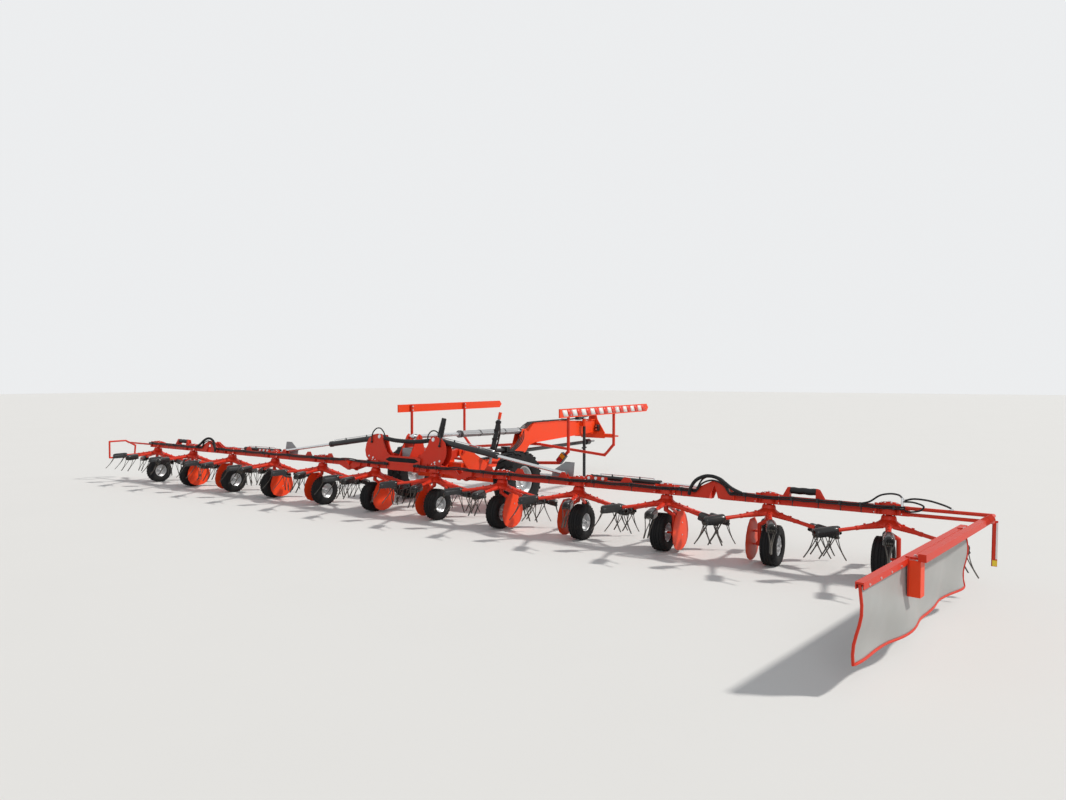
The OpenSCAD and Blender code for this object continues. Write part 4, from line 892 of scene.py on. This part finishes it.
for route, r in END_LOOPS:
    add_tube(bm, smooth_path(route, 8), r)
piece("end_hoses", bm, "hose", "outer_wing_r", place=TILTED)
add_rod(bright, (6.086, -0.0890, 0.150), (6.086, -0.0890, 0.240), 0.012, 12)
add_rod(bright, (6.078, -0.0890, 0.212), (6.106, -0.0890, 0.212), 0.011, 12)
add_box(bright, (6.070, -0.0960, 0.140), (6.102, -0.0495, 0.156))
add_bolt(bright, (6.474, -0.0660, 0.166), (0, 0, 1), 0.014, 0.014)
piece("end_fittings", bright, "steel", "outer_wing_r", place=TILTED)
bm, yellow, white = bmesh.new(), bmesh.new(), bmesh.new()
add_box(bm, (6.7760, -0.086, -0.265), (6.8190, -0.080, 0.112))
add_box(bm, (6.7760, -0.086, -0.265), (6.7820, -0.050, 0.112))
add_box(yellow, (6.7840, -0.090, -0.262), (6.8180, -0.0862, -0.215))
add_box(white, (6.8060, -0.0885, -0.205), (6.8185, -0.0862, 0.095))
piece("reflector_arm", bm, "red_paint", "outer_wing_r", place=TILTED)
piece("reflector", yellow, "orange_paint", "outer_wing_r", YELLOW, TILTED)
piece("reflector_strip", white, "orange_paint", "outer_wing_r", WHITE, TILTED)

# End deflector
# A grey tarpaulin hangs from its rail in shallow folds, with a red hem round its free edges. Bolts
# clamp it in the rail, and a channel at the arm's rear end holds it off the wheel. PIVOT is the place
# of the pin on which it stows.
finish("canvas", shader("canvas", (0.36, 0.365, 0.355), 0.45, grime=0.10, grain=5, bump=0.2))
PIVOT = ROW @ Matrix.Translation((6.740, -0.500, 0.690)) @ Matrix.Rotation(math.radians(-8), 4, "Z")
CANVAS_X, CANVAS_TOP, CANVAS_HIGH, CANVAS_FRONT, CANVAS_LONG = -0.110, -0.0265, 0.478, -0.124, 2.302
COLUMNS, ROWS = 150, 22


def canvas_point(along, down):
    """A point of the canvas: along runs from its front to its rear and down to its edge, 0 to 1."""
    wave = math.sin(along * 21 + 0.6) * 0.5 + math.sin(along * 9.3 + 1.9) * 0.8 + math.sin(along * 47) * 0.04
    end = max(0, 1 - 5 * min(along, 1 - along))
    sway = 0.026 * wave * down ** 1.1 + 0.030 * end * math.sin(down * 5.2) * down ** 0.5
    sway += 0.010 * down * math.sin(7.5 * down + 13 * along)
    sway += 0.003 * down * (1 - down) * math.sin(70 * along - 9 * down)
    drop = CANVAS_HIGH * down * (1 - 0.006 * (1 + math.sin(along * 15)) * down)
    return Vector((CANVAS_X + sway, CANVAS_FRONT - CANVAS_LONG * along, CANVAS_TOP - drop))


bm = bmesh.new()
bmesh.ops.create_grid(bm, x_segments=COLUMNS, y_segments=ROWS, size=0.5)
for v in bm.verts:
    v.co = canvas_point(v.co.x + 0.5, v.co.y + 0.5)
canvas = piece("canvas_sheet", bm, "canvas", "deflector", place=PIVOT, replaces=["deflector_canvas"])
cloth = canvas.modifiers.new("thickness", "SOLIDIFY")
cloth.thickness = 0.0025
cloth.offset = 0
bm = bmesh.new()
edge = [canvas_point(0, j / 8) for j in range(8)] + [canvas_point(i / 90, 1) for i in range(91)]
add_tube(bm, edge + [canvas_point(1, 1 - j / 8) for j in range(1, 9)], 0.0095)
hem = piece("canvas_hem", bm, "red_paint", "deflector", place=PIVOT)
bm = bmesh.new()
for k in range(12):
    y = CANVAS_FRONT - 0.09 - k * (CANVAS_LONG - 0.18) / 11
    for side in (-1, 1):
        add_bolt(bm, (CANVAS_X + side * 0.025, y, -0.040), (side, 0, 0), 0.006, 0.006)
for y in (-0.32, -1.56):
    add_bolt(bm, (-0.06, y, -0.006), (0, 0, 1), 0.009, 0.009)
piece("deflector_bolts", bm, "steel", "deflector", place=PIVOT)
bm = bmesh.new()
add_box(bm, (-0.092, -1.6160, -0.262), (-0.012, -1.6105, -0.0255))
for x in (-0.092, -0.017):
    add_box(bm, (x, -1.6125, -0.262), (x + 0.005, -1.5300, -0.0255))
piece("deflector_channel", bm, "orange_paint", "deflector", place=PIVOT)
